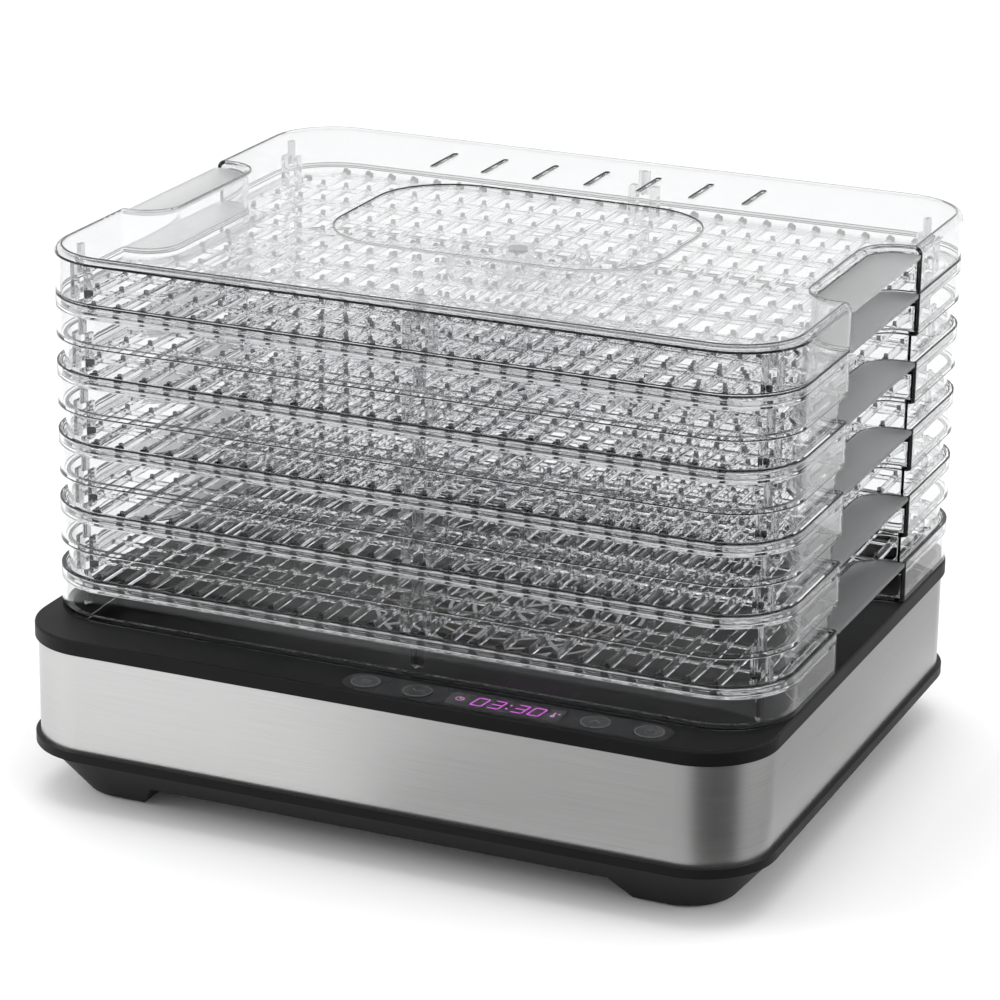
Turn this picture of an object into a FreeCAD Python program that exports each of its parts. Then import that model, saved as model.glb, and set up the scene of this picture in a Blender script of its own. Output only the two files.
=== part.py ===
import FreeCAD, Part

import math
import os
import re
import Sketcher
from FreeCAD import Placement, Rotation, Vector

# Food dehydrator with a heated fan base, five stacking trays and a lid.
# Frame: millimetres, +Z up, +X to the right and -Y to the front of someone facing the controls.
# Origin: on the table, under the centre of the base.

SIZES = [
    # base housing
    ("band_width", 342.0, "steel band, outside left to right"),
    ("band_depth", 288.6, "steel band, outside front to back"),
    ("band_radius", 32.0, "steel band, outside corner radius"),
    ("band_wall", 0.5, "steel band, sheet thickness"),
    ("deck_height", 80.0, "deck top above the table"),
    ("rim_drop", 6.7, "height of the deck's edge above the steel"),
    ("rim_overhang", 1.6, "how far the deck's edge stands out past the steel"),
    ("rim_round", 1.2, "rounding of the deck's upper edge"),
    ("trim_top", 27.7, "lower edge of the visible steel"),
    ("trim_drop", 4.2, "height of the flange under the steel"),
    ("trim_overhang", 2.2, "how far the flange stands out past the steel"),
    ("pan_clear", 12.7, "height of the underside between the feet"),
    ("foot_inset", 20.0, "how far the underbody tapers in from the flange to the table"),
    ("foot_length", 36.0, "foot, left to right at the table"),
    ("foot_depth", 24.0, "foot, front to back at the table"),
    ("pad_height", 1.2, "how far the rubber pads stand below the feet"),
    ("shell_wall", 2.4, "wall of the moulded housing parts"),
    ("joint_gap", 0.3, "clearance between parts that slide or nest"),
    ("fit_gap", 0.2, "clearance between fixed parts"),
    # trays
    ("tray_width", 344.0, "tray, outside left to right"),
    ("tray_depth", 267.6, "tray, outside front to back"),
    ("tray_radius", 33.0, "tray, outside corner radius"),
    ("tray_back", 12.0, "how far the tray's centre sits behind the base's centre"),
    ("tray_pitch", 31.2, "height that each stacked tray adds"),
    ("rim_height", 19.5, "tray wall, from its lower edge to the rim"),
    ("tray_wall", 2.0, "tray wall thickness"),
    ("skirt_gap", 1.4, "how far the skirt stands inside the tray wall below it"),
    ("skirt_wall", 1.6, "tray skirt thickness"),
    ("skirt_drop", 14.5, "how far the skirt hangs below the wall"),
    ("grid_thickness", 2.0, "drying grid thickness"),
    ("ledge_width", 5.0, "ledge that carries the grid"),
    ("ledge_thickness", 1.5, "ledge thickness"),
    ("bar_pitch_x", 12.0, "grid openings, left to right pitch"),
    ("bar_pitch_y", 25.0, "grid openings, front to back pitch"),
    ("bar_width", 2.6, "width of the grid's bars"),
    ("grid_margin", 6.5, "plain edge of the grid"),
    ("grip_length", 91.0, "finger recess, front to back"),
    ("grip_depth", 20.5, "finger recess, from the outside inwards"),
    ("grip_radius", 14.0, "finger recess, inner corner radius"),
    ("grip_forward", 3.5, "how far the recess sits in front of the tray's centre"),
    ("grip_plate", 2.0, "grip plate thickness"),
    ("post_reach_x", 158.5, "corner posts, from the centre to the side"),
    ("post_front", 110.0, "corner posts, from the tray's centre to the front"),
    ("post_rear", 95.0, "corner posts, from the tray's centre to the back"),
    ("post_middle", 117.0, "middle posts, from the tray's centre to front and back"),
    ("front_shift", 6.0, "front middle posts, how far right of the centre"),
    ("rear_shift", 14.0, "rear middle posts, how far right of the centre"),
    ("post_width", 3.9, "one of the middle posts"),
    ("corner_post_width", 2.0, "one of the corner posts"),
    ("post_depth", 5.0, "post, front to back"),
    ("post_height", 14.4, "post above the grid"),
    ("leg_width", 5.6, "middle leg, which hangs between the posts of the tray below"),
    ("corner_leg_width", 3.6, "corner leg"),
    ("leg_web", 1.4, "thickness of the legs' two crossing webs"),
    ("leg_drop", 14.4, "leg below the ledge"),
    ("hub_diameter", 64.0, "centre ring"),
    ("hub_wall", 1.6, "centre ring wall"),
    ("hub_height", 9.5, "centre ring above the grid"),
    ("boss_diameter", 14.4, "centre boss"),
    ("boss_height", 12.5, "centre boss above the grid"),
    # lid
    ("lid_height", 20.7, "lid, from its lower edge to the top"),
    ("lid_wall", 2.0, "lid wall thickness"),
    ("lid_top", 2.2, "lid top thickness"),
    ("lid_round", 3.4, "rounding of the lid's top edge"),
    ("lid_sink", 3.0, "how far the lid's grips lie below its top"),
    ("window_width", 154.0, "stepped panel in the lid, left to right"),
    ("window_depth", 112.0, "stepped panel in the lid, front to back"),
    ("window_radius", 36.0, "stepped panel in the lid, corner radius"),
    ("window_step", 0.8, "depth of the step"),
    ("slot_pitch", 25.7, "steam slots, left to right pitch"),
    ("slot_width", 2.4, "steam slot width"),
    ("slot_length", 28.0, "steam slot length"),
    ("slot_back", 92.0, "steam slots behind the tray's centre"),
    # control panel
    ("panel_length", 148.4, "control panel, left to right"),
    ("panel_depth", 19.0, "control panel, front to back"),
    ("panel_thick", 2.0, "control panel thickness"),
    ("panel_right", 59.3, "how far the panel's centre sits right of the middle"),
    ("panel_front", 133.8, "control panel in front of the base's centre"),
    ("button_diameter", 13.2, "button cap"),
    ("button_rise", 0.4, "button cap above the panel"),
    ("button_travel", 0.8, "button travel"),
    ("button_end", 64.4, "outer buttons, from the panel's centre"),
    ("button_inner", 40.4, "inner buttons, from the panel's centre"),
    ("lens_length", 52.0, "display lens, left to right"),
    ("lens_depth", 13.6, "display lens, front to back"),
    # fan and heater
    ("duct_diameter", 128.0, "air duct, inside"),
    ("duct_wall", 1.6, "air duct wall"),
    ("fan_gap", 10.0, "clearance between the impeller and the duct"),
    ("fan_height", 13.0, "impeller blades"),
    ("fan_blades", 9.0, "number of blades"),
    ("fan_level", 34.0, "impeller plate above the table"),
    ("shaft_diameter", 4.0, "motor shaft"),
    ("motor_diameter", 50.0, "motor can"),
    ("motor_height", 15.0, "motor can"),
    ("coil_wire", 2.4, "heater coil"),
    ("gland_diameter", 11.0, "cord gland, where it passes through the band"),
    ("screw_diameter", 3.0, "housing screws"),
]

doc = FreeCAD.newDocument("food_dehydrator")
sheet = doc.addObject("Spreadsheet::Sheet", "sizes")
for row, (alias, size, note) in enumerate(SIZES, 1):
    sheet.set("A%d" % row, note)
    sheet.set("B%d" % row, str(size))
    sheet.setAlias("B%d" % row, alias)
doc.recompute()

ALIASES = {alias for alias, size, note in SIZES}
probe = doc.addObject("App::FeaturePython", "probe")
probe.addProperty("App::PropertyFloat", "Result")


def bind(text):
    """The expression with each size's name pointing at its cell."""
    return re.sub(r"[a-z][a-z_]*", lambda word: "sizes." + word.group(0)
                  if word.group(0) in ALIASES else word.group(0), str(text))


def number(text):
    """The present value of an expression, in millimetres."""
    probe.setExpression("Result", bind(text))
    probe.recompute()
    return probe.Result


# ------------------------------------------------------------------ sketches and solids

def constrain(sketch, name, kind, *where, size):
    index = sketch.addConstraint(Sketcher.Constraint(kind, *where, number(size)))
    sketch.renameConstraint(index, name)
    sketch.setExpression("Constraints." + name, bind(size))


def rounded_rectangle(sketch, tag, width, depth, radius, x="0", y="0"):
    """Four sides joined by tangent corner arcs."""
    half_w, half_d, r = number(width) / 2, number(depth) / 2, number(radius)
    cx, cy = number(x), number(y)
    left, right, front, back = cx - half_w, cx + half_w, cy - half_d, cy + half_d
    ends = [((left + r, front), (right - r, front)), ((right, front + r), (right, back - r)),
            ((right - r, back), (left + r, back)), ((left, back - r), (left, front + r))]
    corners = [(right - r, front + r, 270), (right - r, back - r, 0),
               (left + r, back - r, 90), (left + r, front + r, 180)]
    first = sketch.GeometryCount
    for start, end in ends:
        sketch.addGeometry(Part.LineSegment(Vector(*start, 0), Vector(*end, 0)), False)
    for mid_x, mid_y, angle in corners:
        circle = Part.Circle(Vector(mid_x, mid_y, 0), Vector(0, 0, 1), r)
        a = math.radians(angle)
        sketch.addGeometry(Part.ArcOfCircle(circle, a, a + math.pi / 2), False)
    for side in range(4):
        line, arc, following = first + side, first + 4 + side, first + (side + 1) % 4
        sketch.addConstraint(Sketcher.Constraint("Tangent", line, 2, arc, 1))
        sketch.addConstraint(Sketcher.Constraint("Tangent", arc, 2, following, 1))
        if side:
            sketch.addConstraint(Sketcher.Constraint("Equal", first + 4, arc))
    sketch.addConstraint(Sketcher.Constraint("Horizontal", first))
    sketch.addConstraint(Sketcher.Constraint("Vertical", first + 1))
    sketch.addConstraint(Sketcher.Constraint("Horizontal", first + 2))
    sketch.addConstraint(Sketcher.Constraint("Vertical", first + 3))
    constrain(sketch, tag + "_radius", "Radius", first + 4, size=radius)
    constrain(sketch, tag + "_width", "DistanceX", first + 3, 2, first + 1, 1, size=width)
    constrain(sketch, tag + "_depth", "DistanceY", first, 1, first + 2, 2, size=depth)
    constrain(sketch, tag + "_x", "DistanceX", -1, 1, first + 3, 2,
              size="(%s) - (%s) / 2" % (x, width))
    constrain(sketch, tag + "_y", "DistanceY", -1, 1, first, 1, size="(%s) - (%s) / 2" % (y, depth))


def circle_in(sketch, tag, diameter, x="0", y="0"):
    centre = Vector(number(x), number(y), 0)
    index = sketch.addGeometry(Part.Circle(centre, Vector(0, 0, 1), number(diameter) / 2), False)
    constrain(sketch, tag + "_diameter", "Diameter", index, size=diameter)
    constrain(sketch, tag + "_x", "DistanceX", -1, 1, index, 3, size=x)
    constrain(sketch, tag + "_y", "DistanceY", -1, 1, index, 3, size=y)


def new_body(name):
    return doc.addObject("PartDesign::Body", name)


def new_sketch(body, name, height):
    """A horizontal sketch at the given height."""
    sketch = body.newObject("Sketcher::SketchObject", name)
    base = next(f for f in body.Origin.OriginFeatures if f.Role == "XY_Plane")
    sketch.AttachmentSupport = (base, "")
    sketch.MapMode = "FlatFace"
    sketch.setExpression("AttachmentOffset.Base.z", bind(height))
    return sketch


def pad(body, sketch, length):
    feature = body.newObject("PartDesign::Pad", sketch.Name + "_pad")
    feature.Profile = sketch
    feature.setExpression("Length", bind(length))
    sketch.Visibility = False
    body.Tip = feature
    return feature


def round_top(body, radius):
    """Rounds the edges of a body's top face."""
    doc.recompute()
    block = body.Tip
    top = block.Shape.BoundBox.ZMax
    edges = ["Edge%d" % (i + 1) for i, edge in enumerate(block.Shape.Edges)
             if edge.BoundBox.ZMin > top - 0.01]
    rounding = body.newObject("PartDesign::Fillet", body.Name + "_rounding")
    rounding.Base = (block, edges)
    rounding.setExpression("Radius", bind(radius))
    body.Tip = rounding


def prism(name, width, depth, radius, low, height, x="0", y="0"):
    """An upright block with rounded corners."""
    body = new_body(name)
    sketch = new_sketch(body, name + "_sketch", low)
    rounded_rectangle(sketch, "outline", width, depth, radius, x, y)
    pad(body, sketch, height)
    return body


def disc(name, diameter, low, height, x="0", y="0"):
    body = new_body(name)
    sketch = new_sketch(body, name + "_sketch", low)
    circle_in(sketch, "edge", diameter, x, y)
    pad(body, sketch, height)
    return body


def tube(name, outside, inside, low, height, x="0", y="0"):
    body = new_body(name)
    sketch = new_sketch(body, name + "_sketch", low)
    circle_in(sketch, "outside", outside, x, y)
    circle_in(sketch, "inside", inside, x, y)
    pad(body, sketch, height)
    return body


def box(name, width, depth, low, height, x="0", y="0"):
    """A square-edged block, centred on x and y."""
    block = doc.addObject("Part::Box", name)
    block.setExpression("Length", bind(width))
    block.setExpression("Width", bind(depth))
    block.setExpression("Height", bind(height))
    block.setExpression("Placement.Base.x", bind("(%s) - (%s) / 2" % (x, width)))
    block.setExpression("Placement.Base.y", bind("(%s) - (%s) / 2" % (y, depth)))
    block.setExpression("Placement.Base.z", bind(low))
    return block


def fuse(name, parts):
    joined = doc.addObject("Part::MultiFuse", name)
    joined.Shapes = parts
    joined.Refine = True
    return joined


def group(name, parts):
    """Separate solids that share one node."""
    together = doc.addObject("Part::Compound", name)
    together.Links = parts
    return together


def cut(name, base, tools):
    """The base without the tools."""
    tool = tools[0] if len(tools) == 1 else fuse(name + "_tools", tools)
    result = doc.addObject("Part::Cut", name)
    result.Base = base
    result.Tool = tool
    result.Refine = True
    return result


def common(name, first, second):
    result = doc.addObject("Part::Common", name)
    result.Base = first
    result.Tool = second
    result.Refine = True
    return result


SUBPARTS = {}


def keep(node, item, rise=None):
    """Makes a finished piece a named sub-part, raised if it is a copy higher up the stack."""
    if rise is not None:
        raised = group(node + "_raised", [item])
        raised.setExpression("Placement.Base.z", bind(rise))
        item = raised
    item.Label = node
    SUBPARTS[node] = item


# ------------------------------------------------------------------ the trays' plan outline

GRIP_Y = "tray_back - grip_forward"


def grip_blocks(name, inset, low, height):
    """Left and right finger recesses, grown by the inset."""
    body = new_body(name)
    sketch = new_sketch(body, name + "_sketch", low)
    for side, sign in (("left", "-1"), ("right", "1")):
        rounded_rectangle(sketch, side, "2 * (grip_depth + %s)" % inset,
                          "grip_length + 2 * (%s)" % inset, "grip_radius + %s" % inset,
                          "%s * tray_width / 2" % sign, GRIP_Y)
    pad(body, sketch, height)
    return body


def plan(name, inset, low, height):
    """The tray's outline moved in by the inset, with the finger recesses cut out."""
    block = prism(name + "_block", "tray_width - 2 * (%s)" % inset, "tray_depth - 2 * (%s)" % inset,
                  "tray_radius - (%s)" % inset, low, height, "0", "tray_back")
    return cut(name, block, [grip_blocks(name + "_grips", inset, low, height)])


def plan_ring(name, outer, inner, low, height):
    """A wall that follows the tray's outline between two insets."""
    return cut(name, plan(name + "_outer", outer, low, height),
               [plan(name + "_inner", inner, low, height)])


CORNER, MIDDLE = ("corner_post_width", "corner_leg_width"), ("post_width", "leg_width")
POSTS = [("front_left", "-post_reach_x", "tray_back - post_front", CORNER),
         ("front_right", "post_reach_x", "tray_back - post_front", CORNER),
         ("rear_left", "-post_reach_x", "tray_back + post_rear", CORNER),
         ("rear_right", "post_reach_x", "tray_back + post_rear", CORNER),
         ("front_middle", "front_shift", "tray_back - post_middle", MIDDLE),
         ("rear_middle", "rear_shift", "tray_back + post_middle", MIDDLE)]
PAIR_WIDTH = "(%s + 2 * %s + 1)"
SKIRT_INSET = "(tray_wall + skirt_gap)"
GRID_TOP = "(tray_pitch - skirt_drop)"
LEDGE_TOP = "(tray_pitch - skirt_drop - grid_thickness)"


def pair_width(sizes):
    """A pair of posts, from outside to outside."""
    post, leg = sizes
    return PAIR_WIDTH % (leg, post)


def posts(prefix, low, height):
    """Pairs of upright posts with a gap for the leg above."""
    made = []
    for place, x, y, (post, leg) in POSTS:
        for side, sign in (("a", "-"), ("b", "+")):
            centre = "%s %s (%s + 1 + %s) / 2" % (x, sign, leg, post)
            made.append(box("%s_%s_%s" % (prefix, place, side), post, "post_depth", low, height,
                            centre, y))
    return made


def legs(prefix, low, height):
    """Legs with a cross-shaped section."""
    made = []
    for place, x, y, (post, leg) in POSTS:
        made.append(box("%s_%s_wide" % (prefix, place), leg, "leg_web", low, height, x, y))
        made.append(box("%s_%s_deep" % (prefix, place), "leg_web", "post_depth", low, height, x, y))
    return made


def shelves(prefix, low, height):
    """Pieces of ledge that reach from the wall to the posts."""
    made = []
    for place, x, y, sizes in POSTS:
        reach = pair_width(sizes)
        if sizes is MIDDLE:
            toward = "-1" if place.startswith("front") else "1"
            gap = "(tray_depth / 2 - post_middle - tray_wall / 2)"
            made.append(box("%s_%s" % (prefix, place), reach, "post_depth / 2 + " + gap, low,
                            height, x, "%s + %s * (%s - post_depth / 2) / 2" % (y, toward, gap)))
        else:
            toward = "-1" if place.endswith("left") else "1"
            gap = "(tray_width / 2 - post_reach_x - tray_wall / 2)"
            made.append(box("%s_%s" % (prefix, place), "%s / 2 + %s" % (reach, gap), "post_depth",
                            low, height, "%s + %s * (%s - %s / 2) / 2" % (x, toward, gap, reach),
                            y))
    return made


def tray_frame():
    """Wall, step, skirt, grid ledge, grip plates, posts and legs of one tray."""
    wall = plan_ring("wall", "0", "tray_wall", "0", "rim_height")
    step = plan_ring("step", "0", SKIRT_INSET + " + skirt_wall", "0", "skirt_wall")
    skirt = plan_ring("skirt", SKIRT_INSET, SKIRT_INSET + " + skirt_wall", "-skirt_drop",
                      "skirt_drop + skirt_wall / 2")
    ledge = plan_ring("ledge", "tray_wall / 2", "tray_wall + ledge_width",
                      LEDGE_TOP + " - ledge_thickness", "ledge_thickness")
    outline = prism("grip_limit", "tray_width", "tray_depth", "tray_radius",
                    "rim_height - grip_plate", "grip_plate", "0", "tray_back")
    plates = common("grip_plates", outline,
                    grip_blocks("grip_fill", "tray_wall / 2", "rim_height - grip_plate",
                                "grip_plate"))
    uprights = posts("post", LEDGE_TOP + " - ledge_thickness / 2",
                     "grid_thickness + post_height + ledge_thickness / 2")
    hanging = legs("leg", LEDGE_TOP + " - ledge_thickness - leg_drop",
                   "leg_drop + ledge_thickness / 2")
    held = common("shelf_inside", fuse("shelf_pads", shelves("shelf", LEDGE_TOP
                                                             + " - ledge_thickness",
                                                             "ledge_thickness")),
                  prism("shelf_limit", "tray_width - tray_wall", "tray_depth - tray_wall",
                        "tray_radius - tray_wall / 2", LEDGE_TOP + " - ledge_thickness",
                        "ledge_thickness", "0", "tray_back"))
    return fuse("tray_frame", [wall, step, skirt, ledge, plates, held] + uprights + hanging)


def grid_openings():
    """Where the grid's openings go: their centres, away from the edge, grips, posts and hub."""
    pitch_x, pitch_y = number("bar_pitch_x"), number("bar_pitch_y")
    size_x, size_y = pitch_x - number("bar_width"), pitch_y - number("bar_width")
    half_w = number("tray_width / 2 - tray_wall - grid_margin")
    half_d = number("tray_depth / 2 - tray_wall - grid_margin")
    grip_in = number("tray_width / 2 - grip_depth - tray_wall - grid_margin")
    grip_half = number("grip_length / 2 + tray_wall + grid_margin / 2")
    grip_mid, corner = -number("grip_forward"), number("tray_radius - tray_wall - grid_margin")
    post_x = number("post_reach_x - %s / 2 - joint_gap" % pair_width(CORNER))
    post_y = [-number("post_front"), number("post_rear")]
    middle_x, middle_y = number(pair_width(MIDDLE) + " / 2 + joint_gap"), number("post_middle")
    post_half = number("post_depth / 2 + bar_width")
    columns, rows = int(half_w / pitch_x), int(half_d / pitch_y)
    places = []
    for i in range(-columns, columns + 1):
        for j in range(-rows, rows):
            x, y = i * pitch_x, (j + 0.5) * pitch_y
            far_x, far_y = abs(x) + size_x / 2, abs(y) + size_y / 2
            in_grip = far_x > grip_in and abs(y - grip_mid) < grip_half + size_y / 2
            past_x, past_y = far_x - (half_w - corner), far_y - (half_d - corner)
            in_corner = past_x > 0 and past_y > 0 and math.hypot(past_x, past_y) > corner
            at_post = far_x > post_x - number("bar_width") and any(
                abs(y - place) < post_half + size_y / 2 for place in post_y)
            at_middle = abs(x) - size_x / 2 < middle_x and abs(
                abs(y) - middle_y) < post_half + size_y / 2
            if far_x <= half_w and far_y <= half_d and not (
                    in_grip or in_corner or at_post or at_middle):
                places.append((x, y))
    return places, size_x, size_y


def tray_grid():
    """A flat plate of long openings that drops into the tray frame."""
    plate = plan("grid_plate", "tray_wall + fit_gap", LEDGE_TOP, "grid_thickness")
    places, size_x, size_y = grid_openings()
    low, height = number(LEDGE_TOP) - 1, number("grid_thickness") + 2
    back = number("tray_back")
    holes = [Part.makeBox(size_x, size_y, height,
                          Vector(x - size_x / 2, y + back - size_y / 2, low))
             for x, y in places]
    openings = doc.addObject("Part::Feature", "grid_openings")
    openings.Shape = Part.makeCompound(holes)
    around = [box("grid_post_%s" % place, pair_width(sizes) + " + 2 * fit_gap",
                  "post_depth + 2 * fit_gap", LEDGE_TOP + " - 1", "grid_thickness + 2", x, y)
              for place, x, y, sizes in POSTS]
    result = cut("grid_open", plate, [openings])
    return cut("tray_grid", result, around)


def tray_hub():
    """Centre ring with four spokes and a boss."""
    ring = tube("hub_ring", "hub_diameter", "hub_diameter - 2 * hub_wall", GRID_TOP, "hub_height",
                "0", "tray_back")
    boss = tube("hub_boss", "boss_diameter", "boss_diameter - 2 * hub_wall", GRID_TOP,
                "boss_height", "0", "tray_back")
    cap = disc("hub_cap", "boss_diameter - hub_wall", GRID_TOP + " + boss_height - hub_wall",
               "hub_wall", "0", "tray_back")
    spokes = [box("hub_spoke_x", "hub_diameter - hub_wall", "hub_wall", GRID_TOP, "hub_wall", "0",
                  "tray_back"),
              box("hub_spoke_y", "hub_wall", "hub_diameter - hub_wall", GRID_TOP, "hub_wall", "0",
                  "tray_back")]
    hollow = disc("hub_hollow", "boss_diameter - 2 * hub_wall", GRID_TOP,
                  "boss_height - hub_wall", "0", "tray_back")
    return cut("tray_hub", fuse("hub_solid", [ring, boss, cap] + spokes), [hollow])


def lid():
    """Top cover: rounded upper edge, stepped panel, steam slots, sunk grips and legs."""
    body = new_body("lid_block")
    sketch = new_sketch(body, "lid_outline", "0")
    rounded_rectangle(sketch, "outline", "tray_width", "tray_depth", "tray_radius", "0",
                      "tray_back")
    pad(body, sketch, "lid_height")
    round_top(body, "lid_round")

    hollow = plan("lid_hollow", "lid_wall", "-1", "lid_height - lid_top + 1")
    under_grips = grip_blocks("lid_under_grips", "0", "-1",
                              "lid_height - lid_sink - grip_plate + 1")
    over_grips = grip_blocks("lid_over_grips", "0", "lid_height - lid_sink", "lid_sink + 1")
    window = prism("lid_window", "window_width", "window_depth", "window_radius",
                   "lid_height - window_step", "window_step + 1", "0", "tray_back")
    slots = new_body("lid_slots")
    sketch = new_sketch(slots, "lid_slots_sketch", "lid_height - lid_top - 1")
    for i in range(-3, 4):
        rounded_rectangle(sketch, "slot_%d" % (i + 3), "slot_width", "slot_length",
                          "slot_width / 2 - 0.05", "%d * slot_pitch" % i, "tray_back + slot_back")
    pad(slots, sketch, "lid_top + 2")
    shell = cut("lid_shell", body, [hollow, under_grips, over_grips, window, slots])
    rest = "lid_height - lid_top"
    feet = legs("lid_leg", rest + " - 11", "12")
    return fuse("lid_whole", [shell] + feet)


# ------------------------------------------------------------------ the base

RIM_WIDTH, RIM_DEPTH = "(band_width + 2 * rim_overhang)", "(band_depth + 2 * rim_overhang)"
INNER_WIDTH, INNER_DEPTH = "(band_width - 2 * band_wall)", "(band_depth - 2 * band_wall)"
INNER_RADIUS = "(band_radius - band_wall)"
FLANGE_WIDTH = "(band_width + 2 * trim_overhang)"
FLANGE_DEPTH = "(band_depth + 2 * trim_overhang)"
FLANGE_LOW = "(trim_top - trim_drop)"
RIM_LOW = "(deck_height - rim_drop)"
FLOOR_TOP = "(deck_height - skirt_drop - 1)"
FLOOR_LOW = "(deck_height - skirt_drop - 1 - shell_wall)"
WELL_INSET = "(tray_wall + skirt_gap - joint_gap)"
PANEL_Y = "-panel_front"
SEAT_LOW = "(deck_height - panel_thick)"
BUTTONS = [("tray_button", "panel_right - button_end"), ("down_button", "panel_right - button_inner"),
           ("up_button", "panel_right + button_inner"), ("power_button", "panel_right + button_end")]
STEM_DIAMETER = "4"
PILLARS = [("front_left", "-1", "-1"), ("front_right", "1", "-1"),
           ("rear_left", "-1", "1"), ("rear_right", "1", "1")]
PILLAR_X, PILLAR_Y = "(band_width / 2 - 24)", "(band_depth / 2 - 62)"
BOARD_LOW = "(deck_height - 13.6)"


def ring(name, width, depth, radius, wall, low, height):
    """A rounded rectangular band with an even wall."""
    body = new_body(name)
    sketch = new_sketch(body, name + "_sketch", low)
    rounded_rectangle(sketch, "outside", width, depth, radius)
    rounded_rectangle(sketch, "inside", "%s - 2 * (%s)" % (width, wall),
                      "%s - 2 * (%s)" % (depth, wall), "%s - (%s)" % (radius, wall))
    pad(body, sketch, height)
    return body


def steel_band():
    """Brushed steel sleeve, with one hole at the back for the cord gland."""
    sleeve = ring("band_sleeve", "band_width", "band_depth", "band_radius", "band_wall",
                  "trim_top", "deck_height - shell_wall - trim_top - 1")
    return cut("band", sleeve, [gland_hole("band_gland_hole", "gland_diameter + 2 * fit_gap")])


def gland_hole(name, diameter):
    hole = doc.addObject("Part::Cylinder", name)
    hole.setExpression("Radius", bind("(%s) / 2" % diameter))
    hole.Height = 12
    hole.Placement = Placement(Vector(0, 0, 0), Rotation(Vector(1, 0, 0), -90))
    hole.setExpression("Placement.Base.x", bind("-band_width / 2 + 52"))
    hole.setExpression("Placement.Base.y", bind("band_depth / 2 - 8"))
    hole.setExpression("Placement.Base.z", bind("trim_top + 16"))
    return hole


def deck_cover():
    """Upper housing: overhanging rim, control strip and the well that takes the lowest tray."""
    top = prism("deck_top", RIM_WIDTH, RIM_DEPTH, "band_radius + rim_overhang", RIM_LOW, "rim_drop")
    round_top(top, "rim_round")
    below = prism("deck_below", "band_width + 2 * fit_gap", "band_depth + 2 * fit_gap",
                  "band_radius + fit_gap", RIM_LOW + " - 1", "rim_drop + 1 - shell_wall")
    plate = cut("deck_plate", top, [below])
    flange = ring("deck_flange", INNER_WIDTH + " - 2 * fit_gap", INNER_DEPTH + " - 2 * fit_gap",
                  INNER_RADIUS + " - fit_gap", "shell_wall / 2", "deck_height - 11", "9.4")
    tub = plan("deck_tub", WELL_INSET + " - shell_wall", FLOOR_LOW,
               "deck_height - shell_wall / 2 - %s" % FLOOR_LOW)
    tub_limit = prism("deck_tub_limit", INNER_WIDTH + " - fit_gap", INNER_DEPTH + " - fit_gap",
                      INNER_RADIUS + " - fit_gap / 2", FLOOR_LOW,
                      "deck_height - shell_wall / 2 - %s" % FLOOR_LOW)
    tub_inside = common("deck_tub_inside", tub, tub_limit)
    seat_block = prism("deck_seat_block", "panel_length + 4", "panel_depth + 3", "panel_depth / 2",
                       SEAT_LOW + " - shell_wall", "shell_wall + 0.5", "panel_right", PANEL_Y)
    seat_limit = prism("deck_seat_limit", INNER_WIDTH + " - 2 * fit_gap",
                       INNER_DEPTH + " - 2 * fit_gap", INNER_RADIUS + " - fit_gap",
                       SEAT_LOW + " - shell_wall", "shell_wall + 0.5")
    seat = common("deck_seat", seat_block, seat_limit)
    board_posts = [disc("deck_board_post_" + side, "5", BOARD_LOW + " + 1.6",
                        SEAT_LOW + " - shell_wall / 2 - %s - 1.6" % BOARD_LOW,
                        "panel_right %s (button_end + button_inner) / 2" % sign, PANEL_Y)
                   for side, sign in (("left", "-"), ("right", "+"))]
    pillars = [disc("deck_pillar_" + place, "8", "pan_clear + shell_wall + 14",
                    FLOOR_LOW + " - pan_clear - shell_wall - 13", "%s * %s" % (sx, PILLAR_X),
                    "%s * %s" % (sy, PILLAR_Y)) for place, sx, sy in PILLARS]
    solid = fuse("deck_solid", [plate, flange, tub_inside, seat] + board_posts + pillars)
    well = plan("deck_well", WELL_INSET, FLOOR_TOP, "deck_height + 1 - %s" % FLOOR_TOP)
    outlet = disc("deck_outlet", "duct_diameter - 4", FLOOR_LOW + " - 1", "shell_wall + 2", "0",
                  "tray_back")
    recess = prism("deck_recess", "panel_length + 2 * fit_gap", "panel_depth + 2 * fit_gap",
                   "panel_depth / 2", SEAT_LOW, "panel_thick + 1", "panel_right", PANEL_Y)
    stems = [disc("deck_stem_" + name, STEM_DIAMETER + " + 2 * joint_gap",
                  SEAT_LOW + " - shell_wall - 1", "shell_wall + 2", x, PANEL_Y)
             for name, x in BUTTONS]
    display = box("deck_display_hole", "lens_length - 2", "lens_depth - 1",
                  SEAT_LOW + " - shell_wall - 1", "shell_wall + 2", "panel_right", PANEL_Y)
    pilots = [disc("deck_pilot_" + place, "screw_diameter + fit_gap",
                   "pan_clear + shell_wall + 13", "20", "%s * %s" % (sx, PILLAR_X),
                   "%s * %s" % (sy, PILLAR_Y)) for place, sx, sy in PILLARS]
    return cut("deck", solid, [well, outlet, recess, display] + stems + pilots)


def taper(name, inset, low, high):
    """The underbody's tapering block between two heights, moved in by the inset."""
    body = new_body(name)
    slope = "(foot_inset / %s)" % FLANGE_LOW
    for end, level in (("lower", low), ("upper", high)):
        shift = "(%s * (%s - (%s)) + %s)" % (slope, FLANGE_LOW, level, inset)
        sketch = new_sketch(body, "%s_%s" % (name, end), level)
        rounded_rectangle(sketch, end, FLANGE_WIDTH + " - 1 - 2 * " + shift,
                          FLANGE_DEPTH + " - 1 - 2 * " + shift, "42 - " + shift)
        sketch.Visibility = False
        if end == "lower":
            first = sketch
    loft = body.newObject("PartDesign::AdditiveLoft", name + "_loft")
    loft.Profile = first
    loft.Sections = [sketch]
    loft.Ruled = True
    body.Tip = loft
    return body


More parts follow.
